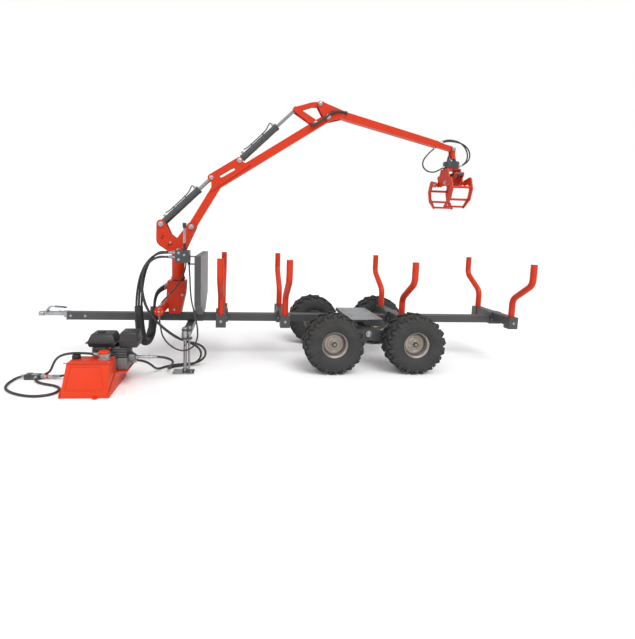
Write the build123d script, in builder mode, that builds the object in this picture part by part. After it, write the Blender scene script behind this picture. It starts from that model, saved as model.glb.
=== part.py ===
from build123d import *
import math
import os

os.makedirs("parts", exist_ok=True)

# Forestry crane trailer with two bogies, slewing crane, grapple and a separate engine pack.
# Millimetres. +X runs to the rear, +Y to the right-hand side, +Z up.
# The origin is the centre of the tow ball's seat. Heights are counted from the ground.

TOW_HEIGHT = 430.0
GROUND = -TOW_HEIGHT
PIN_PLAY = 0.1
SIDE_PLAY = 5.0

# Main beam, a square tube from the coupling to the last bolster
BEAM = 80.0
BEAM_FRONT = 240.0
BEAM_HEIGHT = 411.0
BEAM_CORNER = 9.0
BEAM_TOP = BEAM_HEIGHT + BEAM / 2
BEAM_BOTTOM = BEAM_HEIGHT - BEAM / 2

# Tow coupling for a 50 mm ball
BALL_SEAT_R = 25.5
SEAT_HOUSING_R = 36.0
SEAT_DEPTH = 32.0
SEAT_MOUTH = -20.0
COUPLING_WIDTH = 60.0
COUPLING_TOP = 30.0
HANDLE_WIDTH = 34.0
HANDLE_THICK = 8.0

# Bolsters that carry the stakes: name and place along the beam
BOLSTERS = (
    ("bolster_front", 1776.0),
    ("bolster_second", 2395.0),
    ("bolster_third", 3565.0),
    ("bolster_rear", 4722.0),
)
BOLSTER_LONG = 80.0
BOLSTER_TOP = 490.0
BOLSTER_BOTTOM = 400.0
SLEEVE_WALL = 10.0
SLEEVE_PLAY = 0.3
SLEEVE_LONG = 120.0
SOCKET_SIZE = 96.0
SOCKET_BOTTOM = 372.0
SOCKET_FLOOR = 6.0
BEAM_REAR = BOLSTERS[-1][1] + SLEEVE_LONG / 2

# Stakes: an S-bent round tube in each bolster end
STAKE_R = 30.0
STAKE_PLAY = 0.3
STAKE_FOOT_Y = 314.0
STAKE_HEAD_Y = 593.0
STAKE_LOWER_BEND = 672.0
STAKE_UPPER_BEND = 850.0
STAKE_TOP = 1046.0
STAKE_BEND_R = 100.0

# Bogies and wheels
BOGIE_X = 3208.0
WHEELBASE = 770.0
WHEEL_R = 280.0
WHEEL_WIDTH = 254.0
TRACK = 1120.0
RIM_R = 139.0
BEAD_R = 130.0
AXLE_R = 20.0
HUB_R = 42.0
BOGIE_Y = 380.0
BOGIE_WIDTH = 60.0
BOGIE_END_R = 44.0
BOGIE_MID_R = 56.0
PIVOT_HEIGHT = 331.0
PIVOT_R = 25.0
AXLE_BEAM_HALF = 336.0
AXLE_BEAM_SIDE = 80.0

# Carrier that clamps the cross axle to the main beam
CARRIER_LONG = 330.0
CARRIER_HALF_WIDTH = 325.0
CARRIER_PLATE = 8.0
CARRIER_LIP = 34.0
CHEEK_LONG = 240.0
CHEEK_THICK = 12.0

# Crane foot, slewing gear and king post
SLEW_X = 1330.0
BASE_WIDTH = 170.0
BASE_TOP = 780.0
SLEW_TUBE_X = 1205.0
SLEW_TUBE_HEIGHT = 528.0
SLEW_TUBE_R = 42.0
SLEW_TUBE_HALF = 400.0
COLUMN_R = 62.0
COLUMN_BOTTOM = 785.0
JOURNAL_R = 45.0
JOURNAL_LONG = 120.0
POST_PLATE = 12.0
POST_INNER = 50.0

# Pins of the crane in its own upright plane: X and height above the ground
LIFT_BASE = (1171.0, 1341.0)
BOOM_FOOT = (1466.0, 1320.0)
LIFT_EYE = (1656.0, 1809.0)
BOOM_ELBOW = (1718.0, 1742.0)
JIB_CYL_BASE = (1931.0, 1985.0)
LINK_PIN = (2679.0, 2376.0)
ROD_PIN = (2473.0, 2501.0)
JIB_LEVER = (2718.0, 2561.0)
JIB_PIVOT = (2803.0, 2440.0)
TIP_PIN = (4125.0, 2185.0)
CROSS_PIN_HEIGHT = 2100.0

# Boom and jib tubes
BOOM_DEPTH = 78.0
BOOM_WIDTH = 60.0
JIB_WIDTH = 70.0
JIB_ROOT = (2880.0, 2485.0)
JIB_END = (3950.0, 2228.0)
JIB_ROOT_DEPTH = 74.0
JIB_END_DEPTH = 62.0
TIP_SIDE = 50.0
PLATE = 10.0
PIN_R = 15.0
SMALL_PIN_R = 12.0

# Hydraulic cylinders: barrel radius, rod radius and barrel length from the base pin
LIFT_BARREL_R = 35.0
LIFT_ROD_R = 18.0
LIFT_BARREL_END = 512.0
JIB_BARREL_R = 33.0
JIB_ROD_R = 16.0
JIB_BARREL_END = 505.0
GLAND_LONG = 28.0
CYL_EYE_R = 28.0
CYL_EYE_WIDTH = 46.0
PIPE_R = 6.0

# Rotator and grapple
HANGER_INNER = 30.0
HANGER_PLATE = 8.0
ROTATOR_R = 78.0
ROTATOR_BOTTOM = 1988.0
ROTATOR_TOP = 2058.0
SHAFT_R = 22.0
CROWN_TOP = 1984.0
CROWN_THICK = 12.0
CROWN_SIDE = 150.0
FRAME_INNER = 60.0
FRAME_PLATE = 12.0
JAW_HINGE = (120.0, 1835.0)
JAW_LUG = (190.0, 1915.0)
JAW_INNER = 95.0
JAW_PLATE = 12.0
JAW_PIN_R = 14.0
LUG_INNER = 32.0
LUG_PLATE = 10.0
GRAB_BARREL_R = 24.0
GRAB_BARREL_START = 28.0
GRAB_BARREL_LONG = 215.0
GRAB_ROD_LONG = 240.0
GRAB_ROD_R = 14.0
GRAB_EYE_R = 18.0

# Headboard behind the crane
HEADBOARD_X = 1597.0
HEADBOARD_HALF = 500.0
HEADBOARD_TOP = 1056.0
HEADBOARD_CORNER = 610.0
HEADBOARD_BOTTOM = 462.0
HEADBOARD_FOOT_HALF = 170.0
HEADBOARD_SHEET = 5.0
HEADBOARD_FLANGE = 58.0

# Outrigger with the two support legs
LEG_X = 1465.0
LEG_Y = 560.0
OUTRIGGER_SIDE = 70.0
LEG_BARREL_R = 26.0
LEG_BARREL_TOP = 720.0
LEG_ROD_R = 16.0
GUIDE_R = 10.0
GUIDE_X = 36.0
FOOT_LONG = 190.0
FOOT_WIDE = 120.0
FOOT_THICK = 12.0
FAR_LEG_LIFT = 255.0

# Control valve on the headboard
VALVE_X = 1355.0
VALVE_LONG = 122.0
VALVE_NEAR = -400.0
VALVE_FAR = -240.0
VALVE_BOTTOM = 988.0
VALVE_TOP = 1100.0
LEVER_R = 5.0
KNOB_R = 12.0

# Engine pack that stands on the ground
TANK_X = 600.0
TANK_LONG = 355.0
TANK_FRONT = -1180.0
TANK_BACK = -930.0
TANK_SLOPE = 60.0
TANK_TOP = 275.0
SKID_BACK = -640.0
ENGINE_X = 740.0
ENGINE_LONG = 300.0


def up(height):
    """Z of a height above the ground"""
    return GROUND + height


def on_side(pin):
    """X and Z of a pin given by X and height"""
    return (pin[0], up(pin[1]))


def side(y):
    """Upright plane along the trailer at y; a sketch on it extrudes towards -Y"""
    return Plane(origin=(0, y, 0), x_dir=(1, 0, 0), z_dir=(0, -1, 0))


def across(x):
    """Upright plane across the trailer at x; a sketch on it extrudes towards +X"""
    return Plane(origin=(x, 0, 0), x_dir=(0, 1, 0), z_dir=(1, 0, 0))


def level(height):
    """Level plane at a height above the ground"""
    return Plane.XY.offset(up(height))


def link(p, p_radius, q, q_radius):
    """Adds two discs and the straight sides that touch both to the open sketch"""
    run = math.hypot(q[0] - p[0], q[1] - p[1])
    heading = math.atan2(q[1] - p[1], q[0] - p[0])
    lean = math.acos((p_radius - q_radius) / run)
    corners = []
    for centre, radius, turns in ((p, p_radius, (1, -1)), (q, q_radius, (-1, 1))):
        for turn in turns:
            angle = heading + turn * lean
            corners.append((centre[0] + radius * math.cos(angle), centre[1] + radius * math.sin(angle)))
    with Locations(p):
        Circle(p_radius)
    with Locations(q):
        Circle(q_radius)
    Polygon(*corners, align=None)


def chain(discs):
    """Adds a strip that runs through discs of x, y and radius to the open sketch"""
    for first, second in zip(discs, discs[1:]):
        link(first[:2], first[2], second[:2], second[2])


def bar_between(p, q):
    """Plane at p whose normal points to q, for a round bar in the crane's plane"""
    run = math.hypot(q[0] - p[0], q[1] - p[1])
    heading = ((q[0] - p[0]) / run, 0, (q[1] - p[1]) / run)
    return Plane(origin=(p[0], 0, p[1]), x_dir=(0, 1, 0), z_dir=heading)


def add_barrel(base, tip, radius, end, rod_radius, pin_radius):
    """Adds a hydraulic barrel with its base eye, gland and rod bore to the open part"""
    start = CYL_EYE_R + 6
    axis = bar_between(base, tip)
    with BuildSketch(side(CYL_EYE_WIDTH / 2)) as eye:
        with Locations(base):
            Circle(CYL_EYE_R)
    extrude(eye.sketch, amount=CYL_EYE_WIDTH)
    with BuildSketch(axis) as neck:
        Rectangle(CYL_EYE_WIDTH, CYL_EYE_R * 1.5)
    extrude(neck.sketch, amount=start + 2)
    with BuildSketch(axis.offset(start)) as tube:
        Circle(radius)
    extrude(tube.sketch, amount=end - start)
    with BuildSketch(axis.offset(end - GLAND_LONG)) as gland:
        Circle(radius + 3)
    extrude(gland.sketch, amount=GLAND_LONG)
    with BuildSketch(axis.offset(start + 20)) as rod_bore:
        Circle(rod_radius + 0.4)
    extrude(rod_bore.sketch, amount=end, mode=Mode.SUBTRACT)
    with BuildSketch(side(CYL_EYE_WIDTH)) as pin_bore:
        with Locations(base):
            Circle(pin_radius + PIN_PLAY)
    extrude(pin_bore.sketch, amount=2 * CYL_EYE_WIDTH, mode=Mode.SUBTRACT)


def add_rod(base, tip, radius, inside, eye_radius, eye_width, pin_long):
    """Adds a cylinder rod with its eye and short pin to the open part"""
    run = math.hypot(tip[0] - base[0], tip[1] - base[1])
    with BuildSketch(bar_between(base, tip).offset(inside)) as bar:
        Circle(radius)
    extrude(bar.sketch, amount=run - inside)
    with BuildSketch(side(eye_width / 2)) as eye:
        with Locations(tip):
            Circle(eye_radius)
    extrude(eye.sketch, amount=eye_width)
    with BuildSketch(side(pin_long / 2)) as pin:
        with Locations(tip):
            Circle(SMALL_PIN_R)
    extrude(pin.sketch, amount=pin_long)


# Main beam
with BuildPart() as main_beam:
    with BuildSketch(across(BEAM_FRONT)):
        with Locations((0, up(BEAM_HEIGHT))):
            RectangleRounded(BEAM, BEAM, BEAM_CORNER)
    extrude(amount=BEAM_REAR - BEAM_FRONT)
main_beam.part.label = "main_beam"
export_step(main_beam.part, "parts/main_beam.step")

# Tow coupling with its ball seat and locking handle
with BuildPart() as tow_coupling:
    with BuildSketch(side(COUPLING_WIDTH / 2)):
        with BuildLine():
            Polyline((0, SEAT_MOUTH), (60, -18), (BEAM_FRONT, -18), (BEAM_FRONT, COUPLING_TOP),
                     (40, COUPLING_TOP), (0, COUPLING_TOP - 6), close=True)
        make_face()
    extrude(amount=COUPLING_WIDTH)
    with BuildSketch(Plane.XZ):
        Polygon((0, SEAT_MOUTH), (SEAT_HOUSING_R, SEAT_MOUTH), (SEAT_HOUSING_R, COUPLING_TOP - 12),
                (SEAT_HOUSING_R - 10, COUPLING_TOP - 1), (0, COUPLING_TOP + 2), align=None)
    revolve(axis=Axis.Z)
    with BuildSketch(side(HANDLE_WIDTH / 2)):
        chain(((34, 20, HANDLE_THICK), (78, 72, HANDLE_THICK / 2), (218, 62, HANDLE_THICK / 2)))
    extrude(amount=HANDLE_WIDTH)
    with BuildSketch(Plane.XY.offset(SEAT_MOUTH)):
        Circle(BALL_SEAT_R)
    extrude(amount=SEAT_DEPTH, mode=Mode.SUBTRACT)
tow_coupling.part.label = "tow_coupling"
export_step(tow_coupling.part, "parts/tow_coupling.step")

# Bolsters: a sleeve round the beam, two arms and two sockets
sleeve_half = BEAM / 2 + SLEEVE_PLAY + SLEEVE_WALL
for name, x in BOLSTERS:
    with BuildPart() as bolster:
        with BuildSketch(across(x - BOLSTER_LONG / 2)):
            with Locations((0, up((BOLSTER_TOP + BOLSTER_BOTTOM) / 2))):
                RectangleRounded(2 * STAKE_FOOT_Y, BOLSTER_TOP - BOLSTER_BOTTOM, 8)
        extrude(amount=BOLSTER_LONG)
        with BuildSketch(across(x - SLEEVE_LONG / 2)):
            with Locations((0, up((BOLSTER_TOP + BEAM_BOTTOM - SLEEVE_WALL) / 2))):
                RectangleRounded(2 * sleeve_half, BOLSTER_TOP - BEAM_BOTTOM + SLEEVE_WALL, 8)
        extrude(amount=SLEEVE_LONG)
        with BuildSketch(level(SOCKET_BOTTOM)):
            with Locations((x, -STAKE_FOOT_Y), (x, STAKE_FOOT_Y)):
                RectangleRounded(SOCKET_SIZE, SOCKET_SIZE, 6)
        extrude(amount=BOLSTER_TOP - SOCKET_BOTTOM)
        with BuildSketch(across(x - SLEEVE_LONG)):
            with Locations((0, up(BEAM_HEIGHT))):
                Rectangle(BEAM + 2 * SLEEVE_PLAY, BEAM + 2 * SLEEVE_PLAY)
        extrude(amount=2 * SLEEVE_LONG, mode=Mode.SUBTRACT)
        with BuildSketch(level(SOCKET_BOTTOM + SOCKET_FLOOR)):
            with Locations((x, -STAKE_FOOT_Y), (x, STAKE_FOOT_Y)):
                Circle(STAKE_R + STAKE_PLAY)
        extrude(amount=BOLSTER_TOP, mode=Mode.SUBTRACT)
    bolster.part.label = name
    export_step(bolster.part, f"parts/{name}.step")

# Stakes
with BuildPart() as stakes:
    for name, x in BOLSTERS:
        for hand in (-1, 1):
            foot = Vector(x, hand * STAKE_FOOT_Y, up(SOCKET_BOTTOM + SOCKET_FLOOR))
            with BuildLine() as stake_line:
                FilletPolyline(
                    foot,
                    (x, hand * STAKE_FOOT_Y, up(STAKE_LOWER_BEND)),
                    (x, hand * STAKE_HEAD_Y, up(STAKE_UPPER_BEND)),
                    (x, hand * STAKE_HEAD_Y, up(STAKE_TOP)),
                    radius=STAKE_BEND_R,
                )
            with BuildSketch(Plane(origin=foot, z_dir=(0, 0, 1))):
                Circle(STAKE_R)
            sweep(path=stake_line.line)
stakes.part.label = "stakes"
export_step(stakes.part, "parts/stakes.step")

# Headboard: a sheet with folded edges, and its post on the beam
with BuildPart() as headboard:
    half = HEADBOARD_HALF
    outline = ((-half, HEADBOARD_TOP), (-half, HEADBOARD_CORNER), (-HEADBOARD_FOOT_HALF, HEADBOARD_BOTTOM),
               (HEADBOARD_FOOT_HALF, HEADBOARD_BOTTOM), (half, HEADBOARD_CORNER), (half, HEADBOARD_TOP))
    with BuildSketch(across(HEADBOARD_X - HEADBOARD_FLANGE)):
        Polygon(*[(y, up(z)) for y, z in outline], align=None)
    extrude(amount=HEADBOARD_FLANGE)
    with BuildSketch(across(HEADBOARD_X - HEADBOARD_FLANGE)):
        Polygon(*[(y, up(z)) for y, z in outline], align=None)
        offset(amount=-HEADBOARD_SHEET, mode=Mode.REPLACE)
    extrude(amount=HEADBOARD_FLANGE - HEADBOARD_SHEET, mode=Mode.SUBTRACT)
    with BuildSketch(level(BEAM_TOP)):
        with Locations((HEADBOARD_X - HEADBOARD_FLANGE / 2, 0)):
            Rectangle(HEADBOARD_FLANGE, BEAM - 2 * BEAM_CORNER)
    extrude(amount=HEADBOARD_TOP - BEAM_TOP - HEADBOARD_SHEET)
headboard.part.label = "headboard"
export_step(headboard.part, "parts/headboard.step")

# Carrier on top of the beam, and the cross axle below it
with BuildPart() as axle_carrier:
    with BuildSketch(level(BEAM_TOP)):
        with Locations((BOGIE_X, 0)):
            Rectangle(CARRIER_LONG, 2 * CARRIER_HALF_WIDTH)
    extrude(amount=CARRIER_PLATE)
    with BuildSketch(level(BEAM_TOP + CARRIER_PLATE)):
        for end in (-1, 1):
            for hand in (-1, 1):
                inner = BEAM / 2 + CHEEK_THICK + 2
                with Locations((BOGIE_X + end * (CARRIER_LONG - CARRIER_PLATE) / 2,
                                hand * (CARRIER_HALF_WIDTH + inner) / 2)):
                    Rectangle(CARRIER_PLATE, CARRIER_HALF_WIDTH - inner)
    extrude(amount=-CARRIER_LIP)
    with BuildSketch(level(PIVOT_HEIGHT + AXLE_BEAM_SIDE / 2)):
        for hand in (-1, 1):
            with Locations((BOGIE_X, hand * (BEAM / 2 + SLEEVE_PLAY + CHEEK_THICK / 2))):
                Rectangle(CHEEK_LONG, CHEEK_THICK)
    extrude(amount=BEAM_TOP - PIVOT_HEIGHT - AXLE_BEAM_SIDE / 2)
axle_carrier.part.label = "axle_carrier"
export_step(axle_carrier.part, "parts/axle_carrier.step")

with BuildPart() as axle_beam:
    with BuildSketch(side(AXLE_BEAM_HALF)):
        with Locations((BOGIE_X, up(PIVOT_HEIGHT))):
            RectangleRounded(AXLE_BEAM_SIDE, AXLE_BEAM_SIDE, 8)
    extrude(amount=2 * AXLE_BEAM_HALF)
    with BuildSketch(side(BOGIE_Y + BOGIE_WIDTH / 2 + 12)):
        with Locations((BOGIE_X, up(PIVOT_HEIGHT))):
            Circle(PIVOT_R)
    extrude(amount=2 * (BOGIE_Y + BOGIE_WIDTH / 2 + 12))
axle_beam.part.label = "axle_beam"
export_step(axle_beam.part, "parts/axle_beam.step")

# Bogies with their stub axles
axle_places = (BOGIE_X - WHEELBASE / 2, BOGIE_X + WHEELBASE / 2)
axle_end = TRACK / 2 + 82
for name, hand in (("bogie_near", -1), ("bogie_far", 1)):
    with BuildPart() as bogie:
        with BuildSketch(side(hand * BOGIE_Y + BOGIE_WIDTH / 2)):
            chain((
                (axle_places[0], up(WHEEL_R), BOGIE_END_R),
                (BOGIE_X, up(PIVOT_HEIGHT - 12), BOGIE_MID_R),
                (axle_places[1], up(WHEEL_R), BOGIE_END_R),
            ))
        extrude(amount=BOGIE_WIDTH)
        with BuildSketch(side(hand * BOGIE_Y + BOGIE_WIDTH)):
            with Locations((BOGIE_X, up(PIVOT_HEIGHT))):
                Circle(PIVOT_R + PIN_PLAY)
        extrude(amount=2 * BOGIE_WIDTH, mode=Mode.SUBTRACT)
        for x in axle_places:
            with BuildSketch(side(hand * BOGIE_Y)):
                with Locations((x, up(WHEEL_R))):
                    Circle(AXLE_R)
            extrude(amount=-hand * (axle_end - BOGIE_Y))
            with BuildSketch(side(hand * (axle_end - 20))):
                with Locations((x, up(WHEEL_R))):
                    RegularPolygon(AXLE_R + 8, 6)
            extrude(amount=-hand * 16)
    bogie.part.label = name
    export_step(bogie.part, f"parts/{name}.step")

# Wheels: tyre and rim, from half sections of radius and distance from the wheel's middle
HALF_TREAD = WHEEL_WIDTH / 2
WHEELS = (
    ("near_front", axle_places[0], -1),
    ("near_rear", axle_places[1], -1),
    ("far_front", axle_places[0], 1),
    ("far_rear", axle_places[1], 1),
)
for name, x, hand in WHEELS:
    middle = Plane(origin=(x, hand * TRACK / 2, up(WHEEL_R)), x_dir=(1, 0, 0), z_dir=(0, 0, 1))
    spin = Axis((x, hand * TRACK / 2, up(WHEEL_R)), (0, 1, 0))
    with BuildPart() as tyre:
        with BuildSketch(middle):
            with BuildLine():
                Polyline((BEAD_R, -94), (BEAD_R + 14, -98))
                ThreePointArc((BEAD_R + 14, -98), (208, -HALF_TREAD), (256, -112))
                ThreePointArc((256, -112), (WHEEL_R - 5.8, -56), (WHEEL_R, 0))
                ThreePointArc((WHEEL_R, 0), (WHEEL_R - 5.8, 56), (256, 112))
                ThreePointArc((256, 112), (208, HALF_TREAD), (BEAD_R + 14, 98))
                Polyline((BEAD_R + 14, 98), (BEAD_R, 94), (BEAD_R, -94))
            make_face()
        revolve(axis=spin)
    tyre.part.label = f"tyre_{name}"
    export_step(tyre.part, f"parts/tyre_{name}.step")
    with BuildPart() as rim:
        with BuildSketch(middle):
            with BuildLine():
                Polyline(
                    (BEAD_R - 0.3, -hand * 94), (RIM_R, -hand * 99), (RIM_R, -hand * 103),
                    (BEAD_R - 12, -hand * 96), (BEAD_R - 12, hand * 30), (HUB_R, hand * 44),
                    (HUB_R, -hand * 60), (AXLE_R + PIN_PLAY, -hand * 60), (AXLE_R + PIN_PLAY, hand * 58),
                    (HUB_R, hand * 58), (HUB_R + 6, hand * 52), (BEAD_R - 12, hand * 38),
                    (BEAD_R - 12, hand * 96), (RIM_R, hand * 103), (RIM_R, hand * 99),
                    (BEAD_R - 0.3, hand * 94), close=True,
                )
            make_face()
        revolve(axis=spin)
    rim.part.label = f"rim_{name}"
    export_step(rim.part, f"parts/rim_{name}.step")

# Crane foot with the slewing tube through it
with BuildPart() as crane_base:
    with BuildSketch(side(BASE_WIDTH / 2)):
        Polygon(
            *[(SLEW_X + dx, up(z)) for dx, z in (
                (-96, BASE_TOP), (84, BASE_TOP), (74, 640), (34, BEAM_TOP), (-80, BEAM_TOP), (-104, 640),
            )],
            align=None,
        )
    extrude(amount=BASE_WIDTH)
    with BuildSketch(side(SLEW_TUBE_HALF)):
        with Locations((SLEW_TUBE_X, up(SLEW_TUBE_HEIGHT))):
            Circle(SLEW_TUBE_R)
    extrude(amount=2 * SLEW_TUBE_HALF)
    with BuildSketch(level(BASE_TOP)):
        with Locations((SLEW_X, 0)):
            Circle(JOURNAL_R + PIN_PLAY)
    extrude(amount=-JOURNAL_LONG - 5, mode=Mode.SUBTRACT)
crane_base.part.label = "crane_base"
export_step(crane_base.part, "parts/crane_base.step")

# Outrigger: a cross tube under the beam, and a sleeve with a leg barrel at each end
sleeve_inner = LEG_Y - LEG_BARREL_R - 4
with BuildPart() as outrigger_beam:
    with BuildSketch(side(sleeve_inner)):
        with Locations((LEG_X, up(BEAM_BOTTOM - OUTRIGGER_SIDE / 2))):
            RectangleRounded(OUTRIGGER_SIDE, OUTRIGGER_SIDE, 7)
    extrude(amount=2 * sleeve_inner)
outrigger_beam.part.label = "outrigger_beam"
export_step(outrigger_beam.part, "parts/outrigger_beam.step")

for name, hand in (("leg_sleeve_near", -1), ("leg_sleeve_far", 1)):
    with BuildPart() as leg_sleeve:
        with BuildSketch(level(BEAM_BOTTOM - OUTRIGGER_SIDE)):
            with Locations((LEG_X + 12, hand * (LEG_Y + 2))):
                RectangleRounded(88, 2 * (LEG_Y + 2 - sleeve_inner), 8)
        extrude(amount=OUTRIGGER_SIDE)
        with BuildSketch(level(BEAM_BOTTOM)):
            with Locations((LEG_X, hand * LEG_Y)):
                Circle(LEG_BARREL_R)
        extrude(amount=LEG_BARREL_TOP - BEAM_BOTTOM)
        with BuildSketch(level(BEAM_BOTTOM - OUTRIGGER_SIDE)):
            with Locations((LEG_X, hand * LEG_Y)):
                Circle(LEG_ROD_R + 0.4)
        extrude(amount=LEG_BARREL_TOP - BEAM_BOTTOM + OUTRIGGER_SIDE - 12, mode=Mode.SUBTRACT)
        with BuildSketch(level(BEAM_BOTTOM - OUTRIGGER_SIDE)):
            with Locations((LEG_X + GUIDE_X, hand * LEG_Y)):
                Circle(GUIDE_R + 0.4)
        extrude(amount=OUTRIGGER_SIDE, mode=Mode.SUBTRACT)
    leg_sleeve.part.label = name
    export_step(leg_sleeve.part, f"parts/{name}.step")

# Support legs: rod, guide rod and foot plate
for name, hand, lift in (("leg_near", -1, 0.0), ("leg_far", 1, FAR_LEG_LIFT)):
    with BuildPart() as leg:
        with BuildSketch(level(lift)):
            with Locations((LEG_X - 12, hand * LEG_Y)):
                RectangleRounded(FOOT_LONG, FOOT_WIDE, 14)
        extrude(amount=FOOT_THICK)
        with BuildSketch(level(lift + FOOT_THICK)):
            with Locations((LEG_X, hand * LEG_Y)):
                Circle(LEG_ROD_R + 8)
        extrude(amount=26)
        with BuildSketch(level(lift + FOOT_THICK)):
            with Locations((LEG_X, hand * LEG_Y)):
                Circle(LEG_ROD_R)
        extrude(amount=370)
        with BuildSketch(level(lift + FOOT_THICK)):
            with Locations((LEG_X + GUIDE_X, hand * LEG_Y)):
                Circle(GUIDE_R)
        extrude(amount=380)
    leg.part.label = name
    export_step(leg.part, f"parts/{name}.step")

# King post: column and two crescent plates with the pins between them
with BuildPart() as king_post:
    post_base = (SLEW_X + 4, up(1095), 72)
    post_heel = (SLEW_X - 128, up(1192), 78)
    with BuildSketch(side(POST_INNER + POST_PLATE)):
        chain((
            (*on_side(LIFT_BASE), 44),
            post_heel,
            post_base,
            (*on_side(BOOM_FOOT), 46),
        ))
        with Locations((SLEW_X - 145, up(1212))):
            SlotOverall(44, 20, rotation=60, mode=Mode.SUBTRACT)
        with Locations((SLEW_X - 72, up(1134))):
            SlotOverall(60, 34, rotation=55, mode=Mode.SUBTRACT)
    extrude(amount=POST_PLATE)
    mirror(about=Plane.XZ)
    with BuildSketch(level(COLUMN_BOTTOM)):
        with Locations((SLEW_X, 0)):
            Circle(COLUMN_R)
    extrude(amount=1120 - COLUMN_BOTTOM)
    with BuildSketch(level(COLUMN_BOTTOM)):
        with Locations((SLEW_X, 0)):
            Circle(JOURNAL_R)
    extrude(amount=-JOURNAL_LONG)
    with BuildSketch(side(POST_INNER)):
        link(post_heel[:2], 40, post_base[:2], 52)
    extrude(amount=2 * POST_INNER)
    with BuildSketch(side(POST_INNER + POST_PLATE + 8)):
        with Locations(on_side(LIFT_BASE), on_side(BOOM_FOOT)):
            Circle(PIN_R)
    extrude(amount=2 * (POST_INNER + POST_PLATE + 8))
king_post.part.label = "king_post"
export_step(king_post.part, "parts/king_post.step")

# Lift cylinder
with BuildPart() as lift_barrel:
    add_barrel(on_side(LIFT_BASE), on_side(LIFT_EYE), LIFT_BARREL_R, LIFT_BARREL_END, LIFT_ROD_R, PIN_R)
lift_barrel.part.label = "lift_barrel"
export_step(lift_barrel.part, "parts/lift_barrel.step")

with BuildPart() as lift_rod:
    add_rod(on_side(LIFT_BASE), on_side(LIFT_EYE), LIFT_ROD_R, 300, 28, 44, 50)
lift_rod.part.label = "lift_rod"
export_step(lift_rod.part, "parts/lift_rod.step")

# Main boom: two tubes that meet at the elbow, with bracket plates and the tip boss
foot = on_side(BOOM_FOOT)
elbow = on_side(BOOM_ELBOW)
pivot = on_side(JIB_PIVOT)
with BuildPart() as main_boom:
    with BuildSketch(side(BOOM_WIDTH / 2)):
        link(foot, BOOM_DEPTH / 2, elbow, BOOM_DEPTH / 2)
        link(elbow, BOOM_DEPTH / 2, pivot, BOOM_DEPTH / 2)
    extrude(amount=BOOM_WIDTH)
    with BuildSketch(side(POST_INNER - SIDE_PLAY)):
        with Locations(foot):
            Circle(38)
    extrude(amount=2 * (POST_INNER - SIDE_PLAY))
    with BuildSketch(side(BOOM_WIDTH / 2 + PLATE)):
        eye = on_side(LIFT_EYE)
        base = on_side(JIB_CYL_BASE)
        link(eye, 36, base, 34)
        Polygon(eye, base, (base[0] + 110, base[1] - 40), (elbow[0] + 20, elbow[1] - 10),
                (elbow[0] - 60, elbow[1] - 70), align=None)
        link((elbow[0] + 34, elbow[1] + 92), 16, (elbow[0] + 160, elbow[1] + 168), 16)
        link((elbow[0] + 34, elbow[1] + 92), 16, (elbow[0] + 160, elbow[1] + 168), 16)
    extrude(amount=PLATE)
    mirror(about=Plane.XZ)
    with BuildSketch(side(BOOM_WIDTH)):
        with Locations((elbow[0] + 96, elbow[1] + 122)):
            SlotOverall(170, 30, rotation=31)
    extrude(amount=2 * BOOM_WIDTH, mode=Mode.SUBTRACT)
    with BuildSketch(side(BOOM_WIDTH / 2 + PLATE)):
        with Locations(base):
            Circle(PIN_R)
    extrude(amount=BOOM_WIDTH + 2 * PLATE)
    with BuildSketch(side(BOOM_WIDTH / 2 + SIDE_PLAY + PLATE + 3)):
        with Locations(on_side(LINK_PIN)):
            Circle(SMALL_PIN_R)
    extrude(amount=2 * (BOOM_WIDTH / 2 + SIDE_PLAY + PLATE + 3))
    with BuildSketch(side(BOOM_WIDTH)):
        with Locations(foot, pivot):
            Circle(PIN_R + PIN_PLAY)
    extrude(amount=2 * BOOM_WIDTH, mode=Mode.SUBTRACT)
main_boom.part.label = "main_boom"
export_step(main_boom.part, "parts/main_boom.step")

# Jib cylinder
with BuildPart() as jib_barrel:
    add_barrel(on_side(JIB_CYL_BASE), on_side(ROD_PIN), JIB_BARREL_R, JIB_BARREL_END, JIB_ROD_R, PIN_R)
jib_barrel.part.label = "jib_barrel"
export_step(jib_barrel.part, "parts/jib_barrel.step")

with BuildPart() as jib_rod:
    add_rod(on_side(JIB_CYL_BASE), on_side(ROD_PIN), JIB_ROD_R, 230, 24, 28, 30)
jib_rod.part.label = "jib_rod"
export_step(jib_rod.part, "parts/jib_rod.step")

# Linkage between the jib cylinder and the jib
link_inner = BOOM_WIDTH / 2 + SIDE_PLAY
with BuildPart() as lower_link:
    with BuildSketch(side(link_inner + PLATE)):
        link(on_side(LINK_PIN), 28, on_side(ROD_PIN), 24)
        with Locations(on_side(LINK_PIN)):
            Circle(SMALL_PIN_R + PIN_PLAY, mode=Mode.SUBTRACT)
    extrude(amount=PLATE)
    mirror(about=Plane.XZ)
    with BuildSketch(side(link_inner + PLATE)):
        with Locations(((LINK_PIN[0] + ROD_PIN[0]) / 2, up((LINK_PIN[1] + ROD_PIN[1]) / 2))):
            Circle(14)
    extrude(amount=2 * (link_inner + PLATE))
lower_link.part.label = "lower_link"
export_step(lower_link.part, "parts/lower_link.step")

with BuildPart() as upper_link:
    with BuildSketch(side(BOOM_WIDTH / 2)):
        chain((
            (*on_side(ROD_PIN), 22),
            (JIB_LEVER[0] - 75, up(JIB_LEVER[1] - 4), 20),
            (*on_side(JIB_LEVER), 22),
        ))
    extrude(amount=PLATE)
    mirror(about=Plane.XZ)
    with BuildSketch(side(JIB_WIDTH / 2 + PLATE + 3)):
        with Locations(on_side(JIB_LEVER)):
            Circle(SMALL_PIN_R)
    extrude(amount=JIB_WIDTH + 2 * PLATE + 6)
upper_link.part.label = "upper_link"
export_step(upper_link.part, "parts/upper_link.step")

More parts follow.
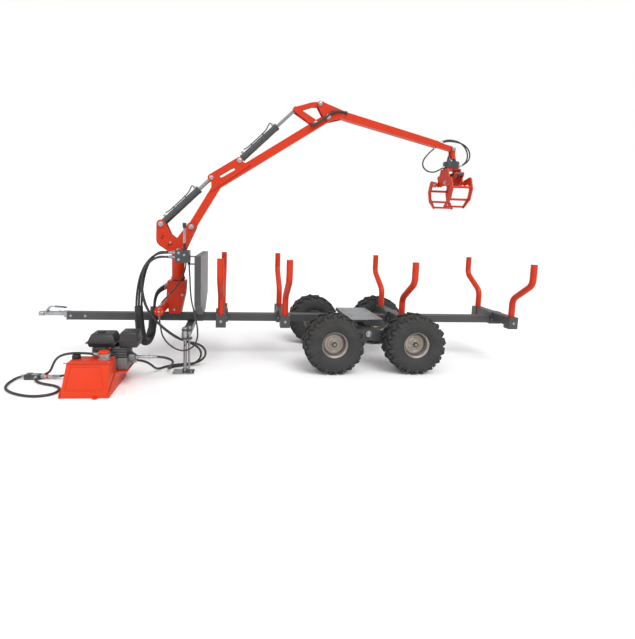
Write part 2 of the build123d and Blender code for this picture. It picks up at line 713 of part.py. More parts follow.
# Jib: fork plates at its root, a tapered tube and the narrow tip
root = on_side(JIB_ROOT)
end = on_side(JIB_END)
tip = on_side(TIP_PIN)
with BuildPart() as jib:
    with BuildSketch(side(JIB_WIDTH / 2)):
        link(root, JIB_ROOT_DEPTH / 2 - 6, (root[0] + 140, root[1] - 33.7), JIB_ROOT_DEPTH / 2)
        link((root[0] + 140, root[1] - 33.7), JIB_ROOT_DEPTH / 2, end, JIB_END_DEPTH / 2)
    extrude(amount=JIB_WIDTH)
    with BuildSketch(side(TIP_SIDE / 2)):
        link(end, TIP_SIDE / 2, tip, TIP_SIDE / 2)
    extrude(amount=TIP_SIDE)
    with BuildSketch(side(JIB_WIDTH / 2 + PLATE)):
        link(on_side(JIB_LEVER), 28, (root[0] + 60, root[1] - 14), 38)
        link(pivot, 42, (root[0] + 60, root[1] - 14), 38)
        link(on_side(JIB_LEVER), 28, pivot, 42)
    extrude(amount=PLATE)
    mirror(about=Plane.XZ)
    with BuildSketch(side(JIB_WIDTH)):
        with Locations(on_side(JIB_LEVER)):
            Circle(SMALL_PIN_R + PIN_PLAY)
    extrude(amount=2 * JIB_WIDTH, mode=Mode.SUBTRACT)
    with BuildSketch(side(JIB_WIDTH / 2 + PLATE + 4)):
        with Locations(pivot):
            Circle(PIN_R)
    extrude(amount=JIB_WIDTH + 2 * PLATE + 8)
    with BuildSketch(side(JIB_WIDTH)):
        with Locations(tip):
            Circle(SMALL_PIN_R + PIN_PLAY)
    extrude(amount=2 * JIB_WIDTH, mode=Mode.SUBTRACT)
jib.part.label = "jib"
export_step(jib.part, "parts/jib.step")

# Hanger: two straps on the tip pin and a block bored for the cross pin
cross = (TIP_PIN[0], up(CROSS_PIN_HEIGHT))
with BuildPart() as hanger:
    with BuildSketch(side(HANGER_INNER + HANGER_PLATE)):
        link(tip, 20, cross, 16)
    extrude(amount=HANGER_PLATE)
    mirror(about=Plane.XZ)
    with BuildSketch(level(CROSS_PIN_HEIGHT - 16)):
        with Locations((TIP_PIN[0], 0)):
            Rectangle(36, 2 * (HANGER_INNER + HANGER_PLATE))
    extrude(amount=34)
    with BuildSketch(side(HANGER_INNER + HANGER_PLATE + 5)):
        with Locations(tip):
            Circle(SMALL_PIN_R)
    extrude(amount=2 * (HANGER_INNER + HANGER_PLATE + 5))
    with BuildSketch(across(TIP_PIN[0] - 40)):
        with Locations((0, up(CROSS_PIN_HEIGHT))):
            Circle(SMALL_PIN_R + PIN_PLAY)
    extrude(amount=80, mode=Mode.SUBTRACT)
hanger.part.label = "hanger"
export_step(hanger.part, "parts/hanger.step")

# Rotator: ears on the cross pin and a round body with a bore for the grapple's shaft
with BuildPart() as rotator:
    with BuildSketch(across(TIP_PIN[0] - 35)):
        link((0, up(CROSS_PIN_HEIGHT)), 22, (0, up(ROTATOR_TOP + 10)), 34)
    extrude(amount=12)
    mirror(about=Plane.YZ.offset(TIP_PIN[0]))
    with BuildSketch(across(TIP_PIN[0] - 40)):
        with Locations((0, up(CROSS_PIN_HEIGHT))):
            Circle(SMALL_PIN_R)
    extrude(amount=80)
    with BuildSketch(level(ROTATOR_BOTTOM)):
        with Locations((TIP_PIN[0], 0)):
            Circle(ROTATOR_R)
    extrude(amount=ROTATOR_TOP - ROTATOR_BOTTOM)
    with BuildSketch(level(ROTATOR_BOTTOM)):
        with Locations((TIP_PIN[0], 0)):
            Circle(SHAFT_R + PIN_PLAY)
    extrude(amount=34, mode=Mode.SUBTRACT)
rotator.part.label = "rotator"
export_step(rotator.part, "parts/rotator.step")

# Grapple frame: crown plate on a shaft, and two cheek plates with the jaw hinges
with BuildPart() as grapple_frame:
    with BuildSketch(level(CROWN_TOP)):
        with Locations((TIP_PIN[0], 0)):
            Rectangle(CROWN_SIDE, CROWN_SIDE)
    extrude(amount=-CROWN_THICK)
    with BuildSketch(level(CROWN_TOP)):
        with Locations((TIP_PIN[0], 0)):
            Circle(SHAFT_R)
    extrude(amount=30)
    with BuildSketch(across(TIP_PIN[0] + FRAME_INNER)):
        hinge_y, hinge_z = JAW_HINGE
        Polygon((-75, up(CROWN_TOP)), (75, up(CROWN_TOP)), (hinge_y + 26, up(hinge_z)),
                (hinge_y, up(hinge_z - 24)), (-hinge_y, up(hinge_z - 24)), (-hinge_y - 26, up(hinge_z)),
                align=None)
        with Locations((hinge_y, up(hinge_z)), (-hinge_y, up(hinge_z))):
            Circle(26)
            Circle(JAW_PIN_R + PIN_PLAY, mode=Mode.SUBTRACT)
    extrude(amount=FRAME_PLATE)
    mirror(about=Plane.YZ.offset(TIP_PIN[0]))
grapple_frame.part.label = "grapple_frame"
export_step(grapple_frame.part, "parts/grapple_frame.step")

# Jaws: outer side plates, inner lugs, hinge pins and cross bars; sections as y, height, radius
JAW_PROFILE = (
    (120.0, 1835.0, 28.0),
    (215.0, 1850.0, 32.0),
    (252.0, 1765.0, 28.0),
    (225.0, 1675.0, 24.0),
    (122.0, 1592.0, 12.0),
)
JAW_BARS = ((258.0, 1780.0, 12.0), (205.0, 1662.0, 11.0), (126.0, 1596.0, 10.0))
for name, hand in (("jaw_near", -1), ("jaw_far", 1)):
    with BuildPart() as jaw:
        with BuildSketch(across(TIP_PIN[0] + JAW_INNER)):
            chain([(hand * y, up(z), r) for y, z, r in JAW_PROFILE])
        extrude(amount=JAW_PLATE)
        with BuildSketch(across(TIP_PIN[0] + LUG_INNER)):
            link((hand * JAW_HINGE[0], up(JAW_HINGE[1])), 24, (hand * JAW_LUG[0], up(JAW_LUG[1])), 20)
        extrude(amount=LUG_PLATE)
        with BuildSketch(across(TIP_PIN[0] + LUG_INNER)):
            with Locations((hand * JAW_HINGE[0], up(JAW_HINGE[1]))):
                Circle(JAW_PIN_R)
        extrude(amount=JAW_INNER + JAW_PLATE - LUG_INNER)
        mirror(about=Plane.YZ.offset(TIP_PIN[0]))
        with BuildSketch(across(TIP_PIN[0] - JAW_INNER)):
            for y, z, r in JAW_BARS:
                with Locations((hand * y, up(z))):
                    Circle(r)
        extrude(amount=2 * JAW_INNER)
        if hand < 0:
            with BuildSketch(across(TIP_PIN[0] - LUG_INNER - LUG_PLATE)):
                with Locations((hand * JAW_LUG[0], up(JAW_LUG[1]))):
                    Circle(10)
            extrude(amount=2 * (LUG_INNER + LUG_PLATE))
    jaw.part.label = name
    export_step(jaw.part, f"parts/{name}.step")

# Grapple cylinder, across between the jaws' lugs
lug_y, lug_z = JAW_LUG
with BuildPart() as grapple_barrel:
    with BuildSketch(side(GRAB_BARREL_START + GRAB_BARREL_LONG - lug_y)):
        with Locations((TIP_PIN[0], up(lug_z))):
            Circle(GRAB_BARREL_R)
    extrude(amount=GRAB_BARREL_LONG)
    with BuildSketch(across(TIP_PIN[0] - LUG_INNER + SIDE_PLAY)):
        link((-lug_y, up(lug_z)), GRAB_EYE_R, (-lug_y + 40, up(lug_z)), GRAB_EYE_R)
        with Locations((-lug_y, up(lug_z))):
            Circle(10 + PIN_PLAY, mode=Mode.SUBTRACT)
    extrude(amount=2 * (LUG_INNER - SIDE_PLAY))
    with BuildSketch(side(GRAB_BARREL_START + GRAB_BARREL_LONG - lug_y)):
        with Locations((TIP_PIN[0], up(lug_z))):
            Circle(GRAB_ROD_R + 0.4)
    extrude(amount=GRAB_BARREL_LONG - 8, mode=Mode.SUBTRACT)
grapple_barrel.part.label = "grapple_barrel"
export_step(grapple_barrel.part, "parts/grapple_barrel.step")

with BuildPart() as grapple_rod:
    with BuildSketch(side(lug_y)):
        with Locations((TIP_PIN[0], up(lug_z))):
            Circle(GRAB_ROD_R)
    extrude(amount=GRAB_ROD_LONG)
    with BuildSketch(across(TIP_PIN[0] - LUG_INNER + SIDE_PLAY)):
        with Locations((lug_y, up(lug_z))):
            Circle(GRAB_EYE_R)
    extrude(amount=2 * (LUG_INNER - SIDE_PLAY))
grapple_rod.part.label = "grapple_rod"
export_step(grapple_rod.part, "parts/grapple_rod.step")

# Control valve with its bracket to the headboard
with BuildPart() as valve_block:
    with BuildSketch(level(VALVE_BOTTOM)):
        with Locations((VALVE_X + VALVE_LONG / 2, (VALVE_NEAR + VALVE_FAR) / 2)):
            Rectangle(VALVE_LONG, VALVE_FAR - VALVE_NEAR)
    extrude(amount=VALVE_TOP - VALVE_BOTTOM)
    with BuildSketch(side(VALVE_FAR - 20)):
        bracket_front = VALVE_X + VALVE_LONG - 12
        bracket_back = HEADBOARD_X - HEADBOARD_SHEET
        with Locations(((bracket_front + bracket_back) / 2, up(VALVE_TOP - 92))):
            Rectangle(bracket_back - bracket_front, 78)
            Rectangle(bracket_back - bracket_front - 14, 64, mode=Mode.SUBTRACT)
    extrude(amount=VALVE_FAR - VALVE_NEAR - 40)
valve_block.part.label = "valve_block"
export_step(valve_block.part, "parts/valve_block.step")

# Valve levers with round knobs
LEVER_PLACES = (-385.0, -355.0, -325.0, -295.0, -265.0)
with BuildPart() as control_levers:
    for y in LEVER_PLACES:
        with BuildSketch(level(VALVE_TOP)):
            with Locations((VALVE_X + 75, y)):
                Circle(LEVER_R + 4)
        extrude(amount=70)
        with BuildSketch(level(VALVE_TOP + 70)):
            with Locations((VALVE_X + 75, y)):
                Circle(LEVER_R)
        extrude(amount=150)
        with BuildSketch(level(VALVE_TOP + 200)):
            with Locations((VALVE_X + 75, y)):
                Circle(KNOB_R)
        extrude(amount=56)
control_levers.part.label = "control_levers"
export_step(control_levers.part, "parts/control_levers.step")

# Engine pack: tank with a leaning front, skid, engine, fuel tank and air filter
with BuildPart() as pack_tank:
    with BuildSketch(across(TANK_X)):
        Polygon((TANK_FRONT, GROUND), (TANK_BACK, GROUND), (TANK_BACK, up(TANK_TOP)),
                (TANK_FRONT + TANK_SLOPE, up(TANK_TOP)), align=None)
    extrude(amount=TANK_LONG)
    with BuildSketch(level(TANK_TOP)):
        with Locations((TANK_X + 62, TANK_BACK - 70)):
            Circle(28)
    extrude(amount=34)
    with BuildSketch(level(TANK_TOP)):
        with Locations((TANK_X + TANK_LONG - 70, TANK_BACK - 62)):
            Circle(46)
    extrude(amount=72)
pack_tank.part.label = "pack_tank"
export_step(pack_tank.part, "parts/pack_tank.step")

with BuildPart() as pack_skid:
    with BuildSketch(level(0)):
        for x in (TANK_X + 20, TANK_X + TANK_LONG - 20):
            with Locations((x, (TANK_BACK + SKID_BACK) / 2)):
                Rectangle(40, SKID_BACK - TANK_BACK)
    extrude(amount=120)
    with BuildSketch(level(120)):
        with Locations((TANK_X + TANK_LONG / 2 + 40, (TANK_BACK + SKID_BACK) / 2)):
            Rectangle(TANK_LONG + 80, SKID_BACK - TANK_BACK)
    extrude(amount=8)
pack_skid.part.label = "pack_skid"
export_step(pack_skid.part, "parts/pack_skid.step")

with BuildPart() as pack_engine:
    with BuildSketch(level(128)):
        with Locations((ENGINE_X + ENGINE_LONG / 2, (TANK_BACK + SKID_BACK) / 2)):
            RectangleRounded(ENGINE_LONG, 250, 30)
    extrude(amount=190)
pack_engine.part.label = "pack_engine"
export_step(pack_engine.part, "parts/pack_engine.step")

with BuildPart() as pack_fuel_tank:
    with BuildSketch(level(318)):
        with Locations((ENGINE_X + 90, TANK_BACK + 130)):
            RectangleRounded(250, 230, 40)
    extrude(amount=120)
pack_fuel_tank.part.label = "pack_fuel_tank"
export_step(pack_fuel_tank.part, "parts/pack_fuel_tank.step")

with BuildPart() as pack_air_filter:
    with BuildSketch(level(318)):
        with Locations((ENGINE_X + 305, TANK_BACK + 120)):
            RectangleRounded(160, 190, 24)
    extrude(amount=135)
pack_air_filter.part.label = "pack_air_filter"
export_step(pack_air_filter.part, "parts/pack_air_filter.step")
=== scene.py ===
"""Looks of a small forestry crane trailer with bogie wheels, grapple crane and engine pack."""

import logging
import math
from collections.abc import Sequence
from dataclasses import dataclass
from enum import Enum

import bpy
from mathutils import Matrix, Vector

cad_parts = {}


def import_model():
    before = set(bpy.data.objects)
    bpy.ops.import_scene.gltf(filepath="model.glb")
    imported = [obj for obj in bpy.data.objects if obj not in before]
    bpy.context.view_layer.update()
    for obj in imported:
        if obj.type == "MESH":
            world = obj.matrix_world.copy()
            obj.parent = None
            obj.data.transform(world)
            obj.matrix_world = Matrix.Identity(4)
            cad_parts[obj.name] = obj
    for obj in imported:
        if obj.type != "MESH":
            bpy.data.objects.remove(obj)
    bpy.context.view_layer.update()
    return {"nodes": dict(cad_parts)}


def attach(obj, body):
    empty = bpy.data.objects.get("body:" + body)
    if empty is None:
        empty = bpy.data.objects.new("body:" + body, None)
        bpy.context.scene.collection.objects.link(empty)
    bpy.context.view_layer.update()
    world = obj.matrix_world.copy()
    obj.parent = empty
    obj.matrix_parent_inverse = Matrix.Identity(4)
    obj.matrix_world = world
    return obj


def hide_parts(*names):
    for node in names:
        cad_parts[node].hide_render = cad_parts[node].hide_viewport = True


logging.basicConfig(level=logging.INFO, format="%(message)s")
LOG = logging.getLogger("trailer")

GROUND = -0.430
IMAGE_WIDTH = 635.0
UP, NEAR, FAR, REAR = Vector((0, 0, 1)), Vector((0, -1, 0)), Vector((0, 1, 0)), Vector((1, 0, 0))
ORIGIN = Vector((0, 0, -GROUND * 1000))
TIP_X = 4125.0
Point = tuple[float, float, float]
Colour = tuple[float, float, float]
Spot = Sequence[float]
Profile = Sequence[tuple[float, float]]
Piece = bpy.types.Object


class Slot(Enum):
    """Material slots of the record that a finish stands for."""

    FRAME = "frame_paint"
    CRANE = "crane_paint"
    ZINC = "zinc"
    ROD = "bright_rod"
    TYRE = "tyre_rubber"
    RIM = "rim_metal"
    CYLINDER = "cylinder_paint"
    TANK = "tank_paint"
    ENGINE = "engine_metal"
    PLASTIC = "black_plastic"


class Graph:
    """Adds, sets and links shader nodes in one node tree."""

    def __init__(self, tree: bpy.types.NodeTree) -> None:
        """Starts on the node tree of a material, a world or a group."""
        self.tree = tree

    def add(self, kind: str, inputs: dict[str, object] | None = None, **values: object) -> bpy.types.Node:
        """Adds a node.

        Args:
            kind: The node's type name.
            inputs: Values of its sockets by name.
            **values: Properties of the node by name.

        Returns:
            The new node.
        """
        node = self.tree.nodes.new(kind)
        for name, value in values.items():
            setattr(node, name, value)
        for name, value in (inputs or {}).items():
            node.inputs[name].default_value = value
        return node

    def link(self, source: bpy.types.Node, out: str | int, target: bpy.types.Node, into: str | int) -> None:
        """Joins one node's output to another's input, each by its name or number."""
        self.tree.links.new(source.outputs[out], target.inputs[into])


class EffectLibrary:
    """Node groups for the effects that several finishes share."""

    def __init__(self) -> None:
        """Builds every group once."""
        self.weathering = self._weathering()

    def _weathering(self) -> bpy.types.NodeTree:
        """Builds the group that dusts, scuffs and unevens a surface.

        Returns:
            The node group.
        """
        tree = bpy.data.node_groups.new("weathered_surface", "ShaderNodeTree")
        for name, kind, value in (("Colour", "Color", (0.5, 0.5, 0.5, 1)), ("Worn Colour", "Color", (0.4, 0.4, 0.4, 1)),
                                  ("Scale", "Float", 8.0), ("Wear", "Float", 0.3), ("Grain Scale", "Float", 200.0),
                                  ("Grain", "Float", 0.1), ("Low Roughness", "Float", 0.3),
                                  ("High Roughness", "Float", 0.5)):
            tree.interface.new_socket(name, in_out="INPUT", socket_type=f"NodeSocket{kind}").default_value = value
        for name, kind in (("Colour", "Color"), ("Roughness", "Float"), ("Height", "Float")):
            tree.interface.new_socket(name, in_out="OUTPUT", socket_type=f"NodeSocket{kind}")
        graph = Graph(tree)
        inside = graph.add("NodeGroupInput")
        outside = graph.add("NodeGroupOutput")
        place = graph.add("ShaderNodeTexCoord")
        patches = graph.add("ShaderNodeTexNoise", {"Detail": 6.0, "Roughness": 0.62}, noise_dimensions="3D")
        spread = graph.add("ShaderNodeMapRange", {"From Min": 0.42, "From Max": 0.72})
        amount = graph.add("ShaderNodeMath", operation="MULTIPLY")
        blend = graph.add("ShaderNodeMix", data_type="RGBA")
        rough = graph.add("ShaderNodeMapRange")
        grain = graph.add("ShaderNodeTexNoise", {"Detail": 3.0}, noise_dimensions="3D")
        height = graph.add("ShaderNodeMath", operation="MULTIPLY")
        for source, out, target, into in (
                (place, "Object", patches, "Vector"), (inside, "Scale", patches, "Scale"),
                (patches, "Fac", spread, "Value"), (spread, "Result", amount, 0), (inside, "Wear", amount, 1),
                (amount, 0, blend, 0), (inside, "Colour", blend, 6), (inside, "Worn Colour", blend, 7),
                (blend, 2, outside, "Colour"), (patches, "Fac", rough, "Value"),
                (inside, "Low Roughness", rough, "To Min"), (inside, "High Roughness", rough, "To Max"),
                (rough, "Result", outside, "Roughness"), (place, "Object", grain, "Vector"),
                (inside, "Grain Scale", grain, "Scale"), (grain, "Fac", height, 0), (inside, "Grain", height, 1),
                (height, 0, outside, "Height")):
            graph.link(source, out, target, into)
        return tree


@dataclass(frozen=True)
class Finish:
    """One finish: paint, metal, plastic or rubber with its own wear."""

    name: str
    slot: Slot
    colour: Colour
    worn: Colour
    wear: float = 0.3
    scale: float = 7.0
    grain_scale: float = 260.0
    grain: float = 0.25
    bump: float = 0.12
    bump_height: float = 0.001
    low_roughness: float = 0.3
    high_roughness: float = 0.5
    metallic: float = 0.0
    coat: float = 0.0
    coat_roughness: float = 0.12
    specular: float = 0.5

    def build(self, effects: EffectLibrary) -> bpy.types.Material:
        """Makes the material.

        Args:
            effects: The shared node groups.

        Returns:
            The material, named after the finish.
        """
        material = bpy.data.materials.new(self.name)
        material.use_nodes = True
        graph = Graph(material.node_tree)
        shader = material.node_tree.nodes["Principled BSDF"]
        for socket, value in (("Metallic", self.metallic), ("Coat Weight", self.coat),
                              ("Specular IOR Level", self.specular), ("Coat Roughness", self.coat_roughness)):
            shader.inputs[socket].default_value = value
        surface = graph.add("ShaderNodeGroup", node_tree=effects.weathering)
        for socket, value in (("Colour", (*self.colour, 1)), ("Worn Colour", (*self.worn, 1)), ("Scale", self.scale),
                              ("Wear", self.wear), ("Grain Scale", self.grain_scale), ("Grain", self.grain),
                              ("Low Roughness", self.low_roughness), ("High Roughness", self.high_roughness)):
            surface.inputs[socket].default_value = value
        bump = graph.add("ShaderNodeBump", {"Strength": self.bump, "Distance": self.bump_height})
        graph.link(surface, "Height", bump, "Height")
        graph.link(surface, "Colour", shader, "Base Color")
        graph.link(surface, "Roughness", shader, "Roughness")
        graph.link(bump, "Normal", shader, "Normal")
        return material


ORANGE = Finish("orange_crane_paint", Slot.CRANE, (0.56, 0.030, 0.004), (0.42, 0.028, 0.008), wear=0.35,
                low_roughness=0.34, high_roughness=0.5, coat=0.04, specular=0.25)
GREY = Finish("dark_frame_paint", Slot.FRAME, (0.045, 0.046, 0.05), (0.075, 0.073, 0.07), wear=0.4,
              low_roughness=0.34, high_roughness=0.55, coat=0.1)
ZINC = Finish("zinc_plate", Slot.ZINC, (0.42, 0.435, 0.45), (0.26, 0.27, 0.28), wear=0.6, scale=14.0,
              low_roughness=0.3, high_roughness=0.46, metallic=0.85)
CHROME = Finish("polished_rod", Slot.ROD, (0.30, 0.31, 0.32), (0.19, 0.20, 0.21), wear=0.3, scale=22.0,
                low_roughness=0.08, high_roughness=0.16, metallic=1.0, bump=0.02)
RUBBER = Finish("tyre_rubber_black", Slot.TYRE, (0.022, 0.022, 0.023), (0.06, 0.056, 0.05), wear=0.45, scale=9.0,
                low_roughness=0.62, high_roughness=0.85, grain_scale=420.0, bump=0.3)
RIM = Finish("silver_rim_paint", Slot.RIM, (0.36, 0.33, 0.3), (0.2, 0.17, 0.15), wear=0.5, scale=11.0,
             low_roughness=0.3, high_roughness=0.5, metallic=0.6)
CYLINDER = Finish("cylinder_black_paint", Slot.CYLINDER, (0.032, 0.035, 0.037), (0.08, 0.085, 0.09), wear=0.35,
                  low_roughness=0.22, high_roughness=0.4, coat=0.3)
TANK = Finish("tank_orange_paint", Slot.TANK, (0.64, 0.038, 0.004), (0.48, 0.030, 0.008), wear=0.25,
              low_roughness=0.3, high_roughness=0.46, coat=0.06, specular=0.28)
ENGINE = Finish("cast_engine_metal", Slot.ENGINE, (0.2, 0.2, 0.21), (0.1, 0.1, 0.1), wear=0.55, scale=16.0,
                low_roughness=0.38, high_roughness=0.6, metallic=0.75, grain_scale=180.0, bump=0.3)
PLASTIC = Finish("black_moulded_plastic", Slot.PLASTIC, (0.02, 0.02, 0.022), (0.04, 0.04, 0.042), wear=0.4,
                 low_roughness=0.36, high_roughness=0.56, grain_scale=520.0, bump=0.22)
HOSE = Finish("hose_rubber_black", Slot.PLASTIC, (0.02, 0.02, 0.021), (0.05, 0.048, 0.045), wear=0.4, scale=16.0,
              low_roughness=0.42, high_roughness=0.62, grain_scale=600.0, bump=0.25)
BRASS = Finish("brass_nut", Slot.RIM, (0.46, 0.33, 0.15), (0.3, 0.24, 0.14), wear=0.5, scale=30.0,
               low_roughness=0.26, high_roughness=0.42, metallic=0.9)
FINISHES = (ORANGE, GREY, ZINC, CHROME, RUBBER, RIM, CYLINDER, TANK, ENGINE, PLASTIC, HOSE, BRASS)


@dataclass
class PhotoCamera:
    """The camera that stands where the photograph was taken."""

    place: Point = (1.9179, -4.5077, 0.8711)
    yaw: float = 0.0919
    pitch: float = 0.1136
    roll: float = 0.0257
    focal_pixels: float = 439.773
    shift_x: float = 0.0644
    shift_y: float = -0.0603
    sensor: float = 36.0
    reach: float = 100.0

    def build(self) -> None:
        """Adds the camera and makes it the scene's own."""
        forward = Vector((math.sin(self.yaw) * math.cos(self.pitch), math.cos(self.yaw) * math.cos(self.pitch),
                          -math.sin(self.pitch)))
        level = Vector((math.cos(self.yaw), -math.sin(self.yaw), 0))
        rise = level.cross(forward)
        right = level * math.cos(self.roll) + rise * math.sin(self.roll)
        top = rise * math.cos(self.roll) - level * math.sin(self.roll)
        data = bpy.data.cameras.new("photo_camera")
        data.sensor_fit = "HORIZONTAL"
        data.sensor_width = self.sensor
        data.lens = self.focal_pixels / IMAGE_WIDTH * self.sensor
        data.shift_x, data.shift_y = self.shift_x, self.shift_y
        data.clip_end = self.reach
        camera = bpy.data.objects.new("photo_camera", data)
        bpy.context.scene.collection.objects.link(camera)
        turn = Matrix((right, top, -forward)).transposed()
        camera.matrix_world = Matrix.Translation(self.place) @ turn.to_4x4()
        bpy.context.scene.camera = camera


@dataclass
class Studio:
    """Pale floor, pale world and soft suns that light it evenly."""

    floor_size: float = 120.0
    floor_place: Point = (2.0, 0.0, GROUND - 0.0005)
    suns: tuple[tuple[str, Point, float, float], ...] = (
        ("key", (-0.35, 0.75, -1.0), 40.0, 1.9),
        ("fill", (0.8, 0.9, -0.9), 70.0, 0.8),
    )

    def build(self) -> None:
        """Adds the floor, the world and the suns."""
        self._world()
        self._floor()
        for name, heading, width, power in self.suns:
            data = bpy.data.lights.new(name, "SUN")
            data.angle = math.radians(width)
            data.energy = power
            lamp = bpy.data.objects.new(name, data)
            bpy.context.scene.collection.objects.link(lamp)
            lamp.matrix_world = Vector(heading).to_track_quat("-Z", "Y").to_matrix().to_4x4()

    def _world(self) -> None:
        """White where the camera sees it, and a plain soft light elsewhere."""
        world = bpy.data.worlds.new("pale_world")
        bpy.context.scene.world = world
        world.use_nodes = True
        graph = Graph(world.node_tree)
        background = world.node_tree.nodes["Background"]
        background.inputs["Color"].default_value = (1, 1, 1, 1)
        path = graph.add("ShaderNodeLightPath")
        seen = graph.add("ShaderNodeMath", operation="MAXIMUM")
        strength = graph.add("ShaderNodeMapRange", {"To Min": 0.62, "To Max": 1.0})
        graph.link(path, "Is Camera Ray", seen, 0)
        graph.link(path, "Is Transmission Ray", seen, 1)
        graph.link(seen, 0, strength, "Value")
        graph.link(strength, "Result", background, "Strength")

    def _floor(self) -> None:
        """A pale floor that fades to white and keeps the shadow."""
        bpy.ops.mesh.primitive_plane_add(size=self.floor_size, location=self.floor_place)
        floor = bpy.context.object
        floor.name = "studio_floor"
        material = bpy.data.materials.new("pale_floor")
        material.use_nodes = True
        graph = Graph(material.node_tree)
        shader = material.node_tree.nodes["Principled BSDF"]
        shader.inputs["Roughness"].default_value = 0.9
        speckle = graph.add("ShaderNodeTexNoise", {"Scale": 3.0})
        tone = graph.add("ShaderNodeMapRange", {"To Min": 0.93, "To Max": 0.97})
        graph.link(graph.add("ShaderNodeTexCoord"), "Object", speckle, "Vector")
        graph.link(speckle, "Fac", tone, "Value")
        graph.link(tone, "Result", shader, "Base Color")
        floor.data.materials.append(material)


def metres(spot: Spot) -> Vector:
    """Turns a place in millimetres into a point of the frame.

    Args:
        spot: Distance behind the tow ball, distance to the far side and height above the ground.

    Returns:
        The point in metres.
    """
    return Vector((spot[0] / 1000, spot[1] / 1000, spot[2] / 1000 + GROUND))


@dataclass(frozen=True)
class Route:
    """One hose: its name, diameter in millimetres, length in metres, far end and the points of its line."""

    name: str
    diameter: float
    length: float
    far_end: str
    points: tuple[Point, ...]


